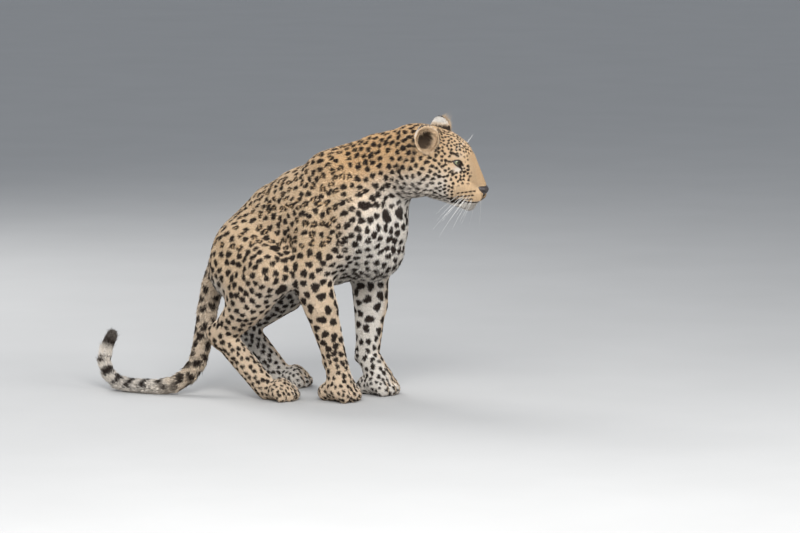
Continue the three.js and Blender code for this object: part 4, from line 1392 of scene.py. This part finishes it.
def leopard():
    """Skin, coat, ears, eyes, nose and whiskers."""
    surface = skin_surface()
    points, quads, normals = surface
    coat = Coat(Markings(points, normals, np.random.default_rng(SEED)))
    hide, hair = coat_material("hide", True), coat_material("hair", False)
    skin = mesh_object("skin", points, quads)
    spot, warm, pale = coat.values(points, normals)
    add_values(skin, spot=spot, warm=warm, pale=pale)
    skin.data.materials.append(hide)
    finish_piece(skin, "coat", *FLESH)
    coat_pieces(surface, coat, hair, TUFTS)
    rim = plain_material("lid_edge", BARE_SKIN, (0.030, 0.018, 0.014), 300, 0.35, 0.3, 0.0004)
    leather = plain_material("nose_leather", BARE_SKIN, (0.030, 0.017, 0.014), 520, 0.5, 0.6, 0.0006,
                             Coat_Weight=0.25, Coat_Roughness=0.3)
    bristle = plain_material("whisker", (0.70, 0.68, 0.62), (0.92, 0.90, 0.86), 90, 0.4, 0.1, 0.0002)
    wet = eye_material()
    for side, word in ((LEFT, "left"), (RIGHT, "right")):
        ear(side, f"ear_{word}", hide, hair)
        eye(side, f"eye_{word}", wet)
        eye_rim(side, f"lid_edge_{word}", rim)
    nose = mesh_object("nose_pad", *nose_surface())
    nose.data.materials.append(leather)
    finish_piece(nose, "nose_leather", "nose")
    whiskers(bristle)


# Panels of light: name, place in metres, side in metres, watts
PANELS = [
    ("key", (1.2, -2.9, 2.4), 2.2, 165),
    ("front", (3.2, -0.4, 1.8), 1.8, 60),
    ("back", (-2.6, 1.4, 2.6), 2.0, 90),
]
SKY_COLOUR, SKY_STRENGTH = (0.80, 0.86, 0.95, 1), 0.55
FLOOR_REACH = 70.0


def studio():
    """A wide flat pale floor, open on every side, and soft panels of light."""
    reach = FLOOR_REACH * np.array([(-1, -1, 0), (1, -1, 0), (1, 1, 0), (-1, 1, 0)], float)
    floor = mesh_object("floor", reach - OFFSET, np.array([(0, 1, 2, 3)]))
    plain = plain_material("floor", (0.40, 0.395, 0.385), (0.44, 0.435, 0.425), 3, 0.8, 0.05, 0.001)
    floor.data.materials.append(plain)
    for panel in PANELS:
        light(*panel)
    world = bpy.data.worlds.new("studio")
    world.use_nodes = True
    sky = world.node_tree.nodes["Background"].inputs
    sky[0].default_value, sky[1].default_value = SKY_COLOUR, SKY_STRENGTH
    bpy.context.scene.world = world


def light(name, place, size, power):
    """A square panel that faces the middle of the animal."""
    data = bpy.data.lights.new(name, "AREA")
    data.energy, data.size = power, size
    obj = bpy.data.objects.new(name, data)
    bpy.context.scene.collection.objects.link(obj)
    obj.location = place
    obj.rotation_euler = (Vector(place) - Vector((0, 0, 0.35))).to_track_quat("Z", "Y").to_euler()


def camera():
    """The photo's view: the frame's middle is found from the floor point's pixel."""
    a, e = CAMERA_AZIMUTH, CAMERA_ELEVATION
    across = np.array((cos(a), sin(a), 0))
    back = np.array((sin(a) * cos(e), -cos(a) * cos(e), sin(e)))
    up = np.cross(back, across)
    columns = (FRAME_PIXELS[0] / 2 - FLOOR_PIXEL[0]) * METRES_PER_PIXEL
    rows = (FLOOR_PIXEL[1] - FRAME_PIXELS[1] / 2) * METRES_PER_PIXEL
    aim = OFFSET + across * columns + up * rows
    data = bpy.data.cameras.new("camera")
    data.sensor_width = SENSOR
    data.lens = SENSOR * CAMERA_DISTANCE / (FRAME_PIXELS[0] * METRES_PER_PIXEL)
    data.clip_end = 100
    obj = bpy.data.objects.new("camera", data)
    bpy.context.scene.collection.objects.link(obj)
    obj.location = aim + back * CAMERA_DISTANCE
    obj.rotation_euler = Vector(back).to_track_quat("Z", "Y").to_euler()
    bpy.context.scene.camera = obj


camera()
studio()
leopard()
bpy.context.scene.view_settings.view_transform = "Standard"
